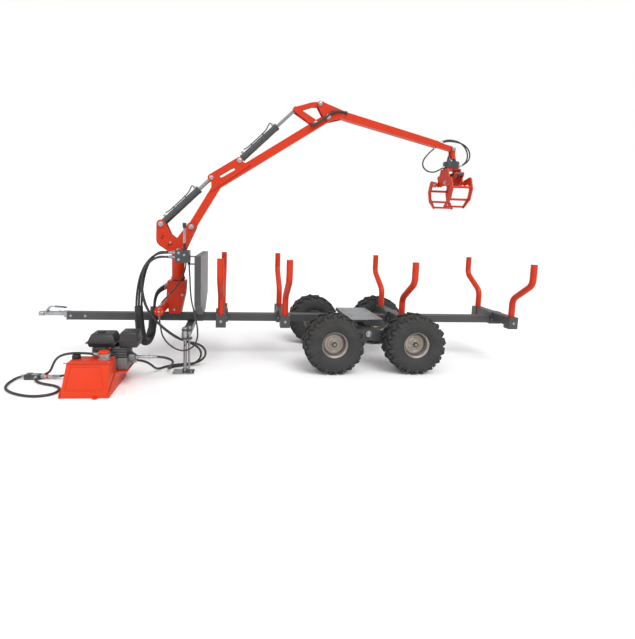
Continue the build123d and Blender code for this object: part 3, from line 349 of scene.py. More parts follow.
class Bench:
    """Makes, dresses and places the pieces; its sizes and places are in millimetres."""

    def __init__(self) -> None:
        """Builds every finish."""
        effects = EffectLibrary()
        self.materials = {finish.name: finish.build(effects) for finish in FINISHES}

    def dress(self, piece: Piece, finish: Finish) -> None:
        """Puts one finish on all of a piece.

        Args:
            piece: A CAD node's object or a new piece.
            finish: The finish it takes.
        """
        material = self.materials[finish.name]
        if not piece.material_slots:
            piece.data.materials.append(material)
        for place in piece.material_slots:
            place.material = material

    def _pick(self, piece: Piece | None = None) -> None:
        """Leaves only the piece selected and active, or nothing selected."""
        bpy.ops.object.select_all(action="DESELECT")
        if piece:
            piece.select_set(True)
            bpy.context.view_layer.objects.active = piece

    def _sketch(self, name: str, corners: list[Spot], edges: list[tuple[int, int]],
                faces: list[tuple[int, ...]]) -> Piece:
        """Starts a piece from a drawn outline, and leaves it picked.

        Args:
            name: The mesh's name.
            corners: Its points in metres.
            edges: Pairs of points.
            faces: Loops of points.

        Returns:
            The mesh object.
        """
        mesh = bpy.data.meshes.new(name)
        mesh.from_pydata([tuple(corner) for corner in corners], edges, faces)
        piece = bpy.data.objects.new(name, mesh)
        bpy.context.scene.collection.objects.link(piece)
        self._pick(piece)
        return piece

    def soften(self, piece: Piece, width: float, segments: int = 2) -> Piece:
        """Rounds the sharp edges of a piece.

        Args:
            piece: The mesh object.
            width: Width of the rounding.
            segments: Faces across it.

        Returns:
            The same piece.
        """
        if width > 0:
            bevel = piece.modifiers.new("edges", "BEVEL")
            bevel.width = width / 1000
            bevel.segments = segments
            bevel.limit_method = "ANGLE"
            bpy.context.view_layer.objects.active = piece
            bpy.ops.object.modifier_apply(modifier=bevel.name)
        return piece

    def block(self, size: Point, place: Spot, round_by: float = 2.0, turn: Point = (0, 0, 0)) -> Piece:
        """Makes a block with rounded edges.

        Args:
            size: Its three sides.
            place: Its middle.
            round_by: Width of the rounding.
            turn: Rotation about X, Y and Z.

        Returns:
            The mesh object.
        """
        self._pick()
        bpy.ops.mesh.primitive_cube_add(size=1, location=metres(place), rotation=turn,
                                        scale=[side / 1000 for side in size])
        piece = bpy.context.object
        bpy.ops.object.transform_apply(location=True, rotation=True, scale=True)
        return self.soften(piece, round_by)

    def rod(self, start: Spot, end: Spot, radius: float, sides: int = 24, round_by: float = 1.5,
            far_radius: float = 0.0) -> Piece:
        """Makes a round or many-sided bar between two places.

        Args:
            start: Middle of the first end.
            end: Middle of the second end.
            radius: Radius at the first end.
            sides: Number of sides.
            round_by: Width of the rounding at its ends.
            far_radius: Radius at the second end, or 0 for the same.

        Returns:
            The mesh object.
        """
        self._pick()
        first, last = metres(start), metres(end)
        bpy.ops.mesh.primitive_cone_add(
            vertices=sides, radius1=radius / 1000, radius2=(far_radius or radius) / 1000, depth=(last - first).length,
            location=(first + last) / 2, rotation=(last - first).to_track_quat("Z", "Y").to_euler())
        piece = bpy.context.object
        bpy.ops.object.transform_apply(location=True, rotation=True, scale=True)
        return self.soften(piece, round_by)

    def rods(self, *rows: tuple) -> list[Piece]:
        """Makes one rod from each row of its start, end, radius, sides and what else it names."""
        return [self.rod(*row) for row in rows]

    def blocks(self, *rows: tuple) -> list[Piece]:
        """Makes one block from each row of its size, place, rounding and turn."""
        return [self.block(*row) for row in rows]

    def lathe(self, profile: Profile, place: Spot, axis: Vector, steps: int = 32, closed: bool = False) -> Piece:
        """Spins a profile about an axis.

        Args:
            profile: Points of radius and distance along the axis.
            place: Where the axis starts.
            axis: Direction of the axis.
            steps: Faces round the piece.
            closed: True where the profile's last point joins its first.

        Returns:
            The mesh object.
        """
        edges = [(number, number + 1) for number in range(len(profile) - 1)]
        if closed:
            edges.append((len(profile) - 1, 0))
        piece = self._sketch("turned", [(radius / 1000, 0, along / 1000) for radius, along in profile], edges, [])
        bpy.ops.object.mode_set(mode="EDIT")
        bpy.ops.mesh.select_all(action="SELECT")
        bpy.ops.mesh.spin(steps=steps, angle=2 * math.pi, center=(0, 0, 0), axis=(0, 0, 1))
        bpy.ops.mesh.select_all(action="SELECT")
        bpy.ops.mesh.remove_doubles(threshold=0.00002)
        bpy.ops.mesh.normals_make_consistent(inside=False)
        bpy.ops.object.mode_set(mode="OBJECT")
        turn = Vector(axis).to_track_quat("Z", "Y").to_matrix().to_4x4()
        piece.data.transform(Matrix.Translation(metres(place)) @ turn)
        return piece

    def line(self, name: str, points: Sequence[Spot], radius: float) -> Piece:
        """Makes a round curve object with the points as its spline's control points.

        Args:
            name: The object's name.
            points: The control points.
            radius: Radius of the tube round the line.

        Returns:
            The curve object.
        """
        data = bpy.data.curves.new(name, "CURVE")
        data.dimensions = "3D"
        data.bevel_depth = radius / 1000
        data.bevel_resolution = 4
        data.resolution_u = 8
        data.use_fill_caps = True
        spline = data.splines.new("NURBS")
        spline.points.add(len(points) - 1)
        for place, point in zip(spline.points, points):
            place.co = (*metres(point), 1)
        spline.order_u = 3
        spline.use_endpoint_u = True
        line = bpy.data.objects.new(name, data)
        bpy.context.scene.collection.objects.link(line)
        return line

    def pipe(self, points: Sequence[Spot], radius: float) -> Piece:
        """Makes a bent tube along a smooth line.

        Args:
            points: Control points of the line.
            radius: Radius of the tube.

        Returns:
            The mesh object.
        """
        self._pick(self.line("pipe", points, radius))
        bpy.ops.object.convert(target="MESH")
        return bpy.context.object

    def hose(self, route: Route, body: str) -> None:
        """Args:
            route: Its line, diameter and length.
            body: The CAD body that it rides on.
        """
        line = self.line(route.name, route.points, route.diameter / 2)
        self.dress(line, HOSE)
        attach(line, body)

    def slab(self, outline: Sequence[Spot], push: Point, round_by: float = 1.5) -> Piece:
        """Extrudes a flat outline into a plate or block.

        Args:
            outline: Corners of the flat face in order.
            push: Direction and length of the extrusion.
            round_by: Width of the rounding.

        Returns:
            The mesh object.
        """
        piece = self._sketch("slab", [metres(corner) for corner in outline], [], [tuple(range(len(outline)))])
        bpy.ops.object.mode_set(mode="EDIT")
        bpy.ops.mesh.select_all(action="SELECT")
        bpy.ops.mesh.extrude_region_move(TRANSFORM_OT_translate={"value": tuple(side / 1000 for side in push)})
        bpy.ops.mesh.select_all(action="SELECT")
        bpy.ops.mesh.normals_make_consistent(inside=False)
        bpy.ops.object.mode_set(mode="OBJECT")
        return self.soften(piece, round_by)

    def tiers(self, middle: tuple[float, float], levels: Sequence[Point], round_by: float = 12.0) -> Piece:
        """Stacks level rectangles into one rounded housing.

        Args:
            middle: X and Y of its axis.
            levels: Height, length along X and width along Y of each rectangle.
            round_by: Width of the rounding.

        Returns:
            The mesh object.
        """
        corners = [metres((middle[0] + step_x * long / 2, middle[1] + step_y * wide / 2, height))
                   for height, long, wide in levels for step_x, step_y in ((-1, -1), (1, -1), (1, 1), (-1, 1))]
        last = 4 * (len(levels) - 1)
        faces = [(3, 2, 1, 0), (last, last + 1, last + 2, last + 3)]
        for low in range(last):
            after = low - low % 4 + (low + 1) % 4
            faces.append((low, after, after + 4, low + 4))
        return self.soften(self._sketch("tiers", corners, [], faces), round_by, 3)

    def bolt(self, place: Spot, axis: Vector, radius: float, tall: float = 0.0) -> Piece:
        """Makes a hexagon head on a washer, with the bolt's end showing.

        Args:
            place: Where the washer rests.
            axis: Direction in which the head stands up.
            radius: Radius over the head's corners.
            tall: Height of the head, or 0 for the usual share of its radius.

        Returns:
            The mesh object.
        """
        seat, height = Vector(place), tall or radius * 0.7
        return self.merge(self.rods(
            (seat - axis, seat + axis * radius * 0.16, radius * 1.25, 20, radius * 0.05),
            (seat, seat + axis * height, radius, 6, radius * 0.12),
            (seat, seat + axis * (height + radius * 0.22), radius * 0.5, 12, radius * 0.08)))

    def merge(self, pieces: list[Piece]) -> Piece:
        """Joins pieces into the first one.

        Args:
            pieces: The mesh objects.

        Returns:
            The joined object.
        """
        self._pick(pieces[0])
        for piece in pieces:
            piece.select_set(True)
        if len(pieces) > 1:
            bpy.ops.object.join()
        return bpy.context.view_layer.objects.active

    def twin(self, model: Piece, move: Matrix) -> Piece:
        """Copies a model.

        Args:
            model: The piece that is repeated.
            move: Where its copy goes.

        Returns:
            The copy, with a mesh of its own.
        """
        twin = model.copy()
        twin.data = model.data.copy()
        twin.data.transform(move)
        bpy.context.scene.collection.objects.link(twin)
        return twin

    def copies(self, model: Piece, moves: list[Matrix]) -> Piece:
        """Repeats a model with meshes of their own, and joins the copies.

        Args:
            model: The piece that is repeated; it is used up.
            moves: One matrix for each copy.

        Returns:
            The joined copies.
        """
        made = [self.twin(model, move) for move in moves]
        bpy.data.objects.remove(model)
        return self.merge(made)

    def ring(self, model: Piece, centre: Spot, axis: str, count: int, start: float = 0.0) -> Piece:
        """Repeats a model round an axis.

        Args:
            model: The piece that is repeated; it is used up.
            centre: A place on the axis.
            axis: The letter of the axis.
            count: How many share the full turn.
            start: Turn of the first one, as a share of one step.

        Returns:
            The joined copies.
        """
        hub = Matrix.Translation(metres(centre))
        return self.copies(model, [hub @ Matrix.Rotation(2 * math.pi * (number + start) / count, 4, axis)
                                   @ hub.inverted() for number in range(count)])

    def done(self, pieces: list[Piece], name: str, finish: Finish, body: str = "chassis", replaces: str = "",
             angle: float = 35.0) -> Piece:
        """Joins pieces, shades them smooth, dresses them and puts them on their body.

        Args:
            pieces: The mesh objects.
            name: The finished piece's name.
            finish: Its finish.
            body: The CAD body that it rides on.
            replaces: The CAD node that it stands for, if any.
            angle: Sharpest angle that is shaded smooth, in degrees.

        Returns:
            The finished piece.
        """
        piece = self.merge(pieces)
        piece.name = piece.data.name = name
        self._pick(piece)
        bpy.ops.object.shade_smooth_by_angle(angle=math.radians(angle))
        piece.data.materials.clear()
        self.dress(piece, finish)
        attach(piece, body)
        if replaces:
            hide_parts(replaces)
        return piece


HOSE_ROUTES = (
    Route("hose_crane_near", 20.0, 1.843, "object", (
        (1330, -385, 1078), (1255, -385, 1078), (1175, -391, 1062), (1095, -396, 985), (1040, -400, 870),
        (1010, -402, 720), (1000, -404, 560), (1006, -403, 412), (1026, -402, 298), (1040, -341, 214),
        (1056, -242, 182), (1072, -143, 214), (1086, -82, 298), (1098, -81, 405), (1108, -78, 518),
        (1118, -66, 606), (1148, -44, 670), (1230, -22, 708),
    )),
    Route("hose_crane_middle", 20.0, 1.786, "object", (
        (1330, -325, 1078), (1256, -325, 1078), (1180, -345, 1070), (1108, -362, 998), (1058, -372, 885),
        (1028, -377, 735), (1018, -380, 575), (1024, -379, 425), (1038, -378, 306), (1050, -326, 234),
        (1064, -242, 207), (1078, -158, 234), (1090, -106, 306), (1100, -105, 410), (1109, -102, 522),
        (1119, -90, 622), (1150, -68, 690), (1232, -48, 732),
    )),
    Route("hose_crane_far", 20.0, 1.730, "object", (
        (1330, -265, 1078), (1260, -265, 1078), (1190, -300, 1080), (1122, -330, 1014), (1076, -345, 905),
        (1048, -351, 755), (1038, -355, 595), (1040, -354, 440), (1048, -354, 314), (1058, -311, 255),
        (1072, -242, 232), (1086, -173, 255), (1096, -130, 314), (1103, -130, 412), (1110, -128, 525),
        (1119, -114, 634), (1152, -90, 706), (1233, -72, 752),
    )),
    Route("hose_slew_upper", 14.0, 0.492, "object", (
        (1440, -320, 988), (1440, -320, 935), (1425, -330, 880), (1382, -345, 790), (1324, -356, 712),
        (1266, -362, 655), (1228, -362, 618), (1211, -360, 571),
    )),
    Route("hose_slew_lower", 14.0, 1.460, "object", (
        (1470, -285, 988), (1470, -288, 930), (1482, -345, 865), (1494, -420, 765), (1512, -505, 655),
        (1550, -575, 545), (1580, -622, 435), (1585, -646, 335), (1546, -656, 258), (1470, -660, 224),
        (1388, -654, 244), (1312, -612, 288), (1262, -540, 330), (1238, -465, 354), (1222, -408, 388),
        (1208, -383, 434), (1205, -378, 486),
    )),
    Route("hose_pressure", 20.0, 2.273, "fitting", (
        (1330, -335, 1038), (1250, -335, 1038), (1180, -395, 1032), (1112, -420, 982), (1066, -430, 880),
        (1054, -438, 742), (1085, -444, 602), (1150, -444, 492), (1235, -440, 402), (1330, -441, 326),
        (1430, -445, 268), (1516, -442, 238), (1580, -432, 194), (1602, -414, 130), (1578, -394, 66),
        (1520, -380, 20), (1440, -382, 11), (1362, -408, 11), (1312, -462, 11), (1308, -535, 30), (1330, -608, 66),
        (1368, -680, 112), (1385, -752, 166), (1345, -805, 206), (1280, -820, 222), (1225, -820, 222),
    )),
    Route("hose_return", 20.0, 2.323, "object", (
        (1040, -735, 168), (1096, -735, 167), (1150, -714, 146), (1184, -660, 102), (1198, -588, 52),
        (1218, -505, 15), (1270, -420, 11), (1350, -362, 11), (1450, -338, 11), (1545, -340, 20), (1616, -360, 66),
        (1644, -392, 136), (1618, -434, 206), (1556, -462, 246), (1470, -471, 264), (1380, -469, 297),
        (1285, -467, 362), (1195, -469, 447), (1120, -471, 552), (1076, -468, 682), (1064, -461, 820),
        (1088, -452, 936), (1142, -440, 1012), (1218, -410, 1044), (1262, -385, 1038), (1330, -385, 1038),
    )),
    Route("hose_over_tank", 20.0, 0.759, "connector", (
        (843, -1010, 296), (784, -1009, 303), (694, -1003, 306), (604, -985, 297), (524, -940, 266),
        (464, -880, 218), (414, -812, 155), (374, -754, 92), (330, -716, 46), (280, -706, 28),
    )),
    Route("hose_front_loop", 20.0, 1.288, "object", (
        (148, -718, 26), (134, -718, 25), (112, -722, 21), (90, -738, 16), (77, -768, 12), (74, -808, 11),
        (76, -860, 11), (88, -925, 11), (122, -994, 11), (182, -1056, 11), (262, -1108, 11), (355, -1146, 11),
        (440, -1150, 11), (520, -1112, 11), (545, -1038, 11), (520, -965, 11), (455, -915, 11), (372, -882, 11),
        (302, -846, 14), (260, -800, 20), (248, -752, 26),
    )),
    Route("hose_suction", 20.0, 0.206, "object", (
        (400, -735, 26), (442, -736, 28), (498, -748, 45), (548, -768, 70), (592, -776, 82),
    )),
)

GRAPPLE_ROUTES = (
    Route("grapple_hose_left", 14.0, 0.547, "object", (
        (3940, -14, 2198), (3902, -22, 2168), (3840, -40, 2110), (3796, -52, 2050), (3798, -56, 1990),
        (3846, -54, 1948), (3920, -44, 1940), (3985, -30, 1968), (4048, -20, 2006),
    )),
    Route("grapple_hose_right", 14.0, 0.552, "object", (
        (3990, -4, 2243), (4060, -4, 2268), (4150, -10, 2262), (4238, -20, 2240), (4298, -30, 2176),
        (4306, -36, 2100), (4268, -30, 2040), (4202, -16, 2012),
    )),
    Route("grapple_hose_back", 14.0, 0.608, "object", (
        (3984, 8, 2245), (4050, 14, 2282), (4140, 24, 2286), (4230, 34, 2266), (4300, 42, 2206), (4326, 44, 2122),
        (4290, 38, 2046), (4202, 20, 2004),
    )),
)


@dataclass
class HoseSet:
    """The hydraulic hoses with a crimped fitting at each end."""

    crimp_long: float = 36.0
    crimp_share: float = 0.64
    nut_long: float = 14.0
    guard_radius: float = 43.0
    guard_first: int = 6
    guard_last: int = 15
    rib_step: float = 13.0

    def build(self, bench: Bench) -> None:
        """Args:
            bench: The maker of pieces.
        """
        coupler = self._coupler(bench)
        pipe = bench.done(bench.rods(((1086, -820, 222), (1225, -820, 222), 12.5, 24),
                                     ((1088, -820, 222), (1104, -820, 222), 21, 6),
                                     ((1190, -820, 222), (1208, -820, 222), 19, 6)), "pump_pipe", ZINC)
        fittings = []
        for route in HOSE_ROUTES:
            bench.hose(route, "chassis")
            fittings += self._crimp(route.points[0], route.points[1], route.diameter, bench)
            fittings += self._crimp(route.points[-1], route.points[-2], route.diameter, bench)
        bench.done(fittings, "hose_fittings", ZINC)
        self._guard(bench)

    def _guard(self, bench: Bench) -> None:
        """Makes the ribbed guard that holds the crane hoses together where they hang.

        Args:
            bench: The maker of pieces.
        """
        spine = [Vector(point) for point in HOSE_ROUTES[1].points[self.guard_first:self.guard_last]]
        outer = self.guard_radius
        rib = bench.lathe(((outer - 7, -4), (outer, -3), (outer, 3), (outer - 7, 4)), ORIGIN, UP, 24)
        places = []
        for before, corner, after in zip(spine, spine[1:], spine[2:]):
            start, end = (before + corner) / 2, (corner + after) / 2
            count = max(2, round(((corner - start).length + (end - corner).length) / self.rib_step))
            for step in range(count):
                share = step / count
                spot = start * (1 - share) ** 2 + corner * 2 * share * (1 - share) + end * share ** 2
                heading = (corner - start) * (1 - share) + (end - corner) * share
                turn = heading.to_track_quat("Z", "Y").to_matrix().to_4x4()
                places.append(Matrix.Translation(metres(spot)) @ turn)
        bench.done([bench.pipe(spine, outer - 5), bench.copies(rib, places)], "hose_guard", PLASTIC)

    def _coupler(self, bench: Bench) -> list[Piece]:
        """Makes the quick coupler that lies on the ground between the hoses.

        Args:
            bench: The maker of pieces.

        Returns:
            Its pieces.
        """
        block = bench.done(bench.blocks(((132, 62, 40), (214, -721, 20), 4), ((46, 70, 30), (176, -721, 31), 4)),
                           "coupler_block", CYLINDER)
        steel = bench.rods(((279, -735, 26), (400, -735, 26), 12.5, 24), ((286, -735, 26), (304, -735, 26), 19, 6),
                           ((376, -735, 26), (398, -735, 26), 16.5, 6))
        steel.append(bench.block((60, 44, 6), (232, -721, 42), 1.5))
        steel += [bench.bolt((x, -721, 45), UP, 7) for x in (215, 250)]
        fitting = bench.done(steel, "coupler_fitting", ZINC)
        ring = bench.lathe(((13, -6), (17.5, -5), (17.5, 5), (13, 6)), (336, -735, 26), REAR, 28)
        return [block, fitting, bench.done([ring], "coupler_ring", TANK)]

    def _crimp(self, end: Spot, inward: Spot, diameter: float, bench: Bench) -> list[Piece]:
        """Makes the ribbed sleeve and nut at one end of a hose.

        Args:
            end: Where the hose ends.
            inward: The next point of its line.
            diameter: The hose's diameter.
            bench: The maker of pieces.

        Returns:
            The sleeve and the nut.
        """
        heading = (Vector(inward) - Vector(end)).normalized()
        radius, step = diameter * self.crimp_share, self.crimp_long / 6
        neck = radius * 0.9
        profile = [(0.5, 1), (neck, 1), (neck, self.nut_long)]
        for ridge in range(4):
            start = self.nut_long + ridge * step
            profile += [(radius, start + step * 0.2), (radius, start + step * 0.7), (neck, start + step)]
        profile.append((diameter * 0.45, self.nut_long + 4.2 * step))
        return [bench.lathe(profile, end, heading, 20),
                bench.rod(Vector(end) + heading, Vector(end) + heading * self.nut_long, radius * 1.22, 6)]


@dataclass
class GrappleHoses:
    """Hoses that hang from the jib's end to the rotator."""

    sleeve_long: float = 34.0
    nut_long: float = 12.0

    def build(self, bench: Bench) -> None:
        """Makes the loops and their fittings.

        Args:
            bench: The maker of pieces.
        """
        fittings = []
        for route in GRAPPLE_ROUTES:
            bench.hose(route, "hanger")
            for first, second in ((0, 1), (-1, -2)):
                end = Vector(route.points[first])
                heading = (Vector(route.points[second]) - end).normalized()
                fittings += bench.rods((end, end + heading * self.sleeve_long, route.diameter * 0.66, 16),
                                       (end, end + heading * self.nut_long, route.diameter * 0.85, 6))
        bench.done(fittings, "grapple_hose_fittings", ZINC, "hanger")


@dataclass
class Wheels:
    """Tyres with slanted lugs on silver rims, modelled about the Y axis at the origin."""

    hub_height: float = 280.0
    track_half: float = 560.0
    axles: tuple[float, float] = (2823.0, 3593.0)
    half_wide: float = 127.0
    lugs: int = 18
    lug_angle: float = 38.0
    bolts: int = 5

    def build(self, bench: Bench) -> None:
        """Makes one tyre, rim and set of nuts, and copies them to the four hubs.

        Args:
            bench: The maker of pieces.
        """
        models = ((self._tyre(bench), "tyre", RUBBER), (self._rim(bench), "rim", RIM),
                  (self._nuts(bench), "nuts", BRASS))
        for side, hand in (("near", -1), ("far", 1)):
            outward = Matrix.Identity(4) if hand > 0 else Matrix.Rotation(math.pi, 4, "Z")
            for end, x in zip(("front", "rear"), self.axles):
                name = f"{side}_{end}"
                hub = Matrix.Translation(metres((x, hand * self.track_half, self.hub_height)))
                for model, kind, finish in models:
                    bench.done([bench.twin(model, hub @ outward)], f"wheel_{name}_{kind}", finish, f"wheel_{name}",
                               "" if kind == "nuts" else f"{kind}_{name}")
        for model, _, _ in models:
            bpy.data.objects.remove(model)

    def _tyre(self, bench: Bench) -> Piece:
        """Makes the carcass and its lugs.

        Args:
            bench: The maker of pieces.

        Returns:
            The tyre at the origin.
        """
        half = [(118.5, 93), (124, 104), (131, 108), (150, 118.5), (172, 125.5), (192, self.half_wide), (214, 124.5),
                (236, 117.5), (250, 104), (258.5, 78), (262.5, 40), (263.5, 0)]
        profile = half + [(radius, -along) for radius, along in reversed(half[:-1])]
        pieces = [bench.lathe(profile, ORIGIN, FAR, 72)]
        slant = math.radians(self.lug_angle)
        for row in (-1, 1):
            lug = bench.merge(bench.blocks(
                ((26, 100, 30), ORIGIN + Vector((0, row * 60, 263.5)), 3.5, (0, 0, -row * slant)),
                ((34, 22, 52), ORIGIN + Vector((-33, row * 108.5, 239.5)), 4, (row * 0.3, 0, 0)),
                ((26, 12, 22), ORIGIN + Vector((6, row * 119.5, 221)), 3, (row * 0.2, 0, 0))))
            pieces.append(bench.ring(lug, ORIGIN, "Y", self.lugs, 0.25 * (row + 1)))
        for radius, side in ((150, 118.7), (178, 126.2)):
            for row in (-1, 1):
                ring = ((radius, row * (side - 3)), (radius + 1, row * side), (radius + 4, row * side),
                        (radius + 5, row * (side - 3)))
                pieces.append(bench.lathe(ring, ORIGIN, FAR, 72))
        return bench.merge(pieces)

    def _rim(self, bench: Bench) -> Piece:
        """Makes the rim, its dished disc and its hub.

        Args:
            bench: The maker of pieces.

        Returns:
            The rim at the origin, outer side towards +Y.
        """
        profile = (
            (117.7, -92.6), (125, -98), (121.5, -98.5), (110, -89), (106, -72), (106, 20), (96, 27), (62, 34),
            (42, 36), (42, -59), (20.2, -59), (20.2, 59), (36, 59), (40, 56), (41, 48), (56, 46), (62, 42), (68, 47),
            (86, 46), (98, 38), (103, 30), (106, 46), (106, 72), (108, 84), (115, 90.5), (121.5, 98.5), (125, 98),
            (117.7, 92.6), (112, 80), (112, -80),
        )
        dish = bench.lathe(profile, ORIGIN, FAR, 56, closed=True)
        stem = bench.rod(ORIGIN + Vector((98, 40, 0)), ORIGIN + Vector((101, 70, 0)), 4.5, 12)
        cap = bench.rod(ORIGIN + FAR * 52, ORIGIN + FAR * 64, 34, 32, 3, 30)
        return bench.merge([dish, stem, cap])

    def _nuts(self, bench: Bench) -> Piece:
        """Makes the wheel nuts and the axle nut.

        Args:
            bench: The maker of pieces.

        Returns:
            The nuts at the origin.
        """
        ring = bench.ring(bench.bolt(ORIGIN + Vector((0, 44.5, 52)), FAR, 10), ORIGIN, "Y", self.bolts)
        return bench.merge([ring, bench.bolt(ORIGIN + FAR * 63, FAR, 21, 16)])


BOLSTER_X = (1776, 2395, 3565, 4722)
BOLTS = (
    # body, axis, radius and places; each place off the middle is repeated on the far side
    ("chassis", NEAR, 11, ((285, -40, 411), (425, -40, 411))),
    ("chassis", UP, 10, ((168, 0, 450), (212, 0, 450))),
    ("chassis", NEAR, 9, tuple((x + step, -50.3, 411) for x in BOLSTER_X for step in (-36, 36))),
    ("chassis", NEAR, 11, tuple((x, -362, 430) for x in BOLSTER_X)),
    ("chassis", UP, 11, tuple((x, y, 459) for y in (-90, -190) for x in (3088, 3328))),
    ("chassis", NEAR, 26, ((3208, -422, 331),)),
    ("chassis", NEAR, 10, ((1250, -85, 640), (1380, -85, 640), (1300, -85, 490))),
    ("king_post", NEAR, 21, ((1171, -70, 1341), (1466, -70, 1320))),
    ("king_post", NEAR, 9, ((1262, -62, 1160), (1390, -62, 1120))),
    ("boom", NEAR, 20, ((1931, -40, 1985),)),
    ("boom", NEAR, 17, ((1656, -40, 1809),)),
    ("boom", NEAR, 16, ((2679, -48, 2376),)),
    ("jib", NEAR, 21, ((2803, -49, 2440),)),
    ("upper_link", NEAR, 17, ((2718, -48, 2561),)),
    ("hanger", NEAR, 17, ((TIP_X, -43, 2185),)),
)


@dataclass
class Fasteners:
    """Bolts, pin heads and nuts, one joined piece for each body."""

    jaw_hinge: Point = (107.0, 120.0, 1835.0)
    hinge_nut: float = 18.0

    def build(self, bench: Bench) -> None:
        """Places every bolt of the table on its body.

        Args:
            bench: The maker of pieces.
        """
        heads: dict[str, list[Piece]] = {}
        for body, axis, radius, places in BOLTS:
            for x, y, height in places:
                for side in (1, -1) if y else (1,):
                    towards = Vector((axis.x, axis.y * side, axis.z))
                    heads.setdefault(body, []).append(bench.bolt((x, y * side, height), towards, radius))
        across, outward, height = self.jaw_hinge
        for body, hand in (("jaw_near", -1), ("jaw_far", 1)):
            heads[body] = [bench.bolt((TIP_X + end * across, hand * outward, height), REAR * end, self.hinge_nut)
                           for end in (-1, 1)]
        for body, pieces in heads.items():
            bench.done(pieces, f"{body}_bolts", ZINC, body)


@dataclass
class Plumbing:
    """Ports and steel pipes on the two crane cylinders."""

    cylinders: tuple[tuple[str, str, tuple[float, float], tuple[float, float], float, float], ...] = (
        ("lift", "lift_barrel", (1171.0, 1341.0), (1656.0, 1809.0), 35.0, 486.0),
        ("jib", "jib_barrel", (1931.0, 1985.0), (2473.0, 2501.0), 33.0, 480.0),
    )
    first_port: float = 78.0
    port_rise: float = 14.0
    pipe_radius: float = 5.5
    weld_at: float = 44.0

    def build(self, bench: Bench) -> None:
        """Makes the ports, pipes, clamps and weld rings of each cylinder.

        Args:
            bench: The maker of pieces.
        """
        first = self.first_port
        for name, body, base, tip, radius, last in self.cylinders:
            axis = Vector((tip[0] - base[0], 0, tip[1] - base[1])).normalized()

            def spot(along: float, out: float = 0.0, side: float = 0.0) -> Vector:
                """Gives a place along the cylinder, off its axis and to its side."""
                return Vector((base[0] + axis.x * along - axis.z * out, side, base[1] + axis.z * along + axis.x * out))

            top = radius + self.port_rise
            ports = [bench.rod(spot(along, radius - 4), spot(along, top), 11, 20) for along in (first, last)]
            ports += [bench.rod(spot(along, top - 6), spot(along, top + 6), 14, 6) for along in (first, last)]
            bench.done(ports, f"{name}_ports", ZINC, body)
            pieces = [bench.pipe([spot(last, top + 4), spot(last, top + 20), spot(last - 14, top + 26),
                                  spot(last - 60, top + 4), spot(last - 120, radius + 10),
                                  spot(first + 110, radius + 10), spot(first + 60, radius + 12),
                                  spot(first + 30, radius + 18, -22)], self.pipe_radius)]
            band = ((radius + 0.2, -7), (radius + 2.2, -6), (radius + 2.2, 6), (radius + 0.2, 7))
            for along in (first + 120, last - 130):
                pieces += [bench.lathe(band, spot(along), axis, 32),
                           bench.block((16, 18, 18), spot(along, radius + 9), 3)]
            bench.done(pieces, f"{name}_pipe", CYLINDER, body)
            ring = ((radius, -6), (radius + 3, -3), (radius + 3, 2), (radius, 6))
            bench.done([bench.lathe(ring, spot(self.weld_at), axis, 32)], f"{name}_weld_ring", CYLINDER, body)


@dataclass
class ControlStation:
    """Levers with bellows and knobs, spool caps and fittings of the valve."""

    lever_x: float = 1430.0
    lever_y: tuple[float, ...] = (-385.0, -355.0, -325.0, -295.0, -265.0)
    lever_top: float = 1356.0
    folds: int = 5
    valve_x: float = 1355.0
    valve_top: float = 1100.0
    valve_far: float = -240.0
    valve_near: float = -400.0
    ports: tuple[tuple[float, float], ...] = ((-385.0, 1078.0), (-325.0, 1078.0), (-265.0, 1078.0), (-385.0, 1038.0),
                                              (-335.0, 1038.0))

    def build(self, bench: Bench) -> None:
        """Makes the levers and what shows on the valve.

        Args:
            bench: The maker of pieces.
        """
        black, steel, cast = [], [], []
        front, top, near, far = self.valve_x, self.valve_top, self.valve_near, self.valve_far
        bellows = [(9.5, 0.0)]
        for fold in range(self.folds):
            bellows += [(10.5 - fold * 0.6, 6 + fold * 11), (7.8 - fold * 0.5, 11 + fold * 11)]
        bellows += [(5, 62), (4.6, 68)]
        knob = ((0.5, -1), (6, 0), (8, 8), (10.4, 22), (11.8, 34), (11.2, 43), (7, 49.5), (0.5, 51))
        for y in self.lever_y:
            black += [bench.lathe(bellows, (self.lever_x, y, top), UP, 20),
                      bench.lathe(knob, (self.lever_x, y, self.lever_top - 51), UP, 24)]
            steel += bench.rods(((self.lever_x, y, top + 60), (self.lever_x, y, self.lever_top - 48), 4.5, 14),
                                ((front + 18, y, top - 2), (front + 18, y, top + 16), 9.5, 6))
            cast.append(bench.block((128, 26, 114), (front + 61, y, top - 56), 3))
        bench.done(black, "lever_knobs", PLASTIC, replaces="control_levers")
        for height in (top - 22, top - 84):
            steel += [bench.rod((front + 30, near - 4, height), (front + 30, far + 4, height), 6, 14),
                      bench.bolt((front + 30, near, height), NEAR, 10), bench.bolt((front + 30, far, height), FAR, 10)]
        for y, height in self.ports:
            steel += bench.rods(((front, y, height), (front - 27, y, height), 10.5, 20),
                                ((front - 4, y, height), (front - 18, y, height), 14.5, 6))
        steel += bench.rods(((1440, -320, 1000), (1440, -320, 986), 11.5, 6),
                            ((1470, -285, 1000), (1470, -285, 986), 11.5, 6),
                            ((front + 84, near, top - 40), (front + 84, near - 22, top - 40), 13, 6),
                            ((front + 84, near, top - 40), (front + 84, near - 36, top - 40), 8, 18))
        bench.done(steel, "valve_hardware", ZINC)
        bench.done(cast, "valve_slices", CYLINDER)


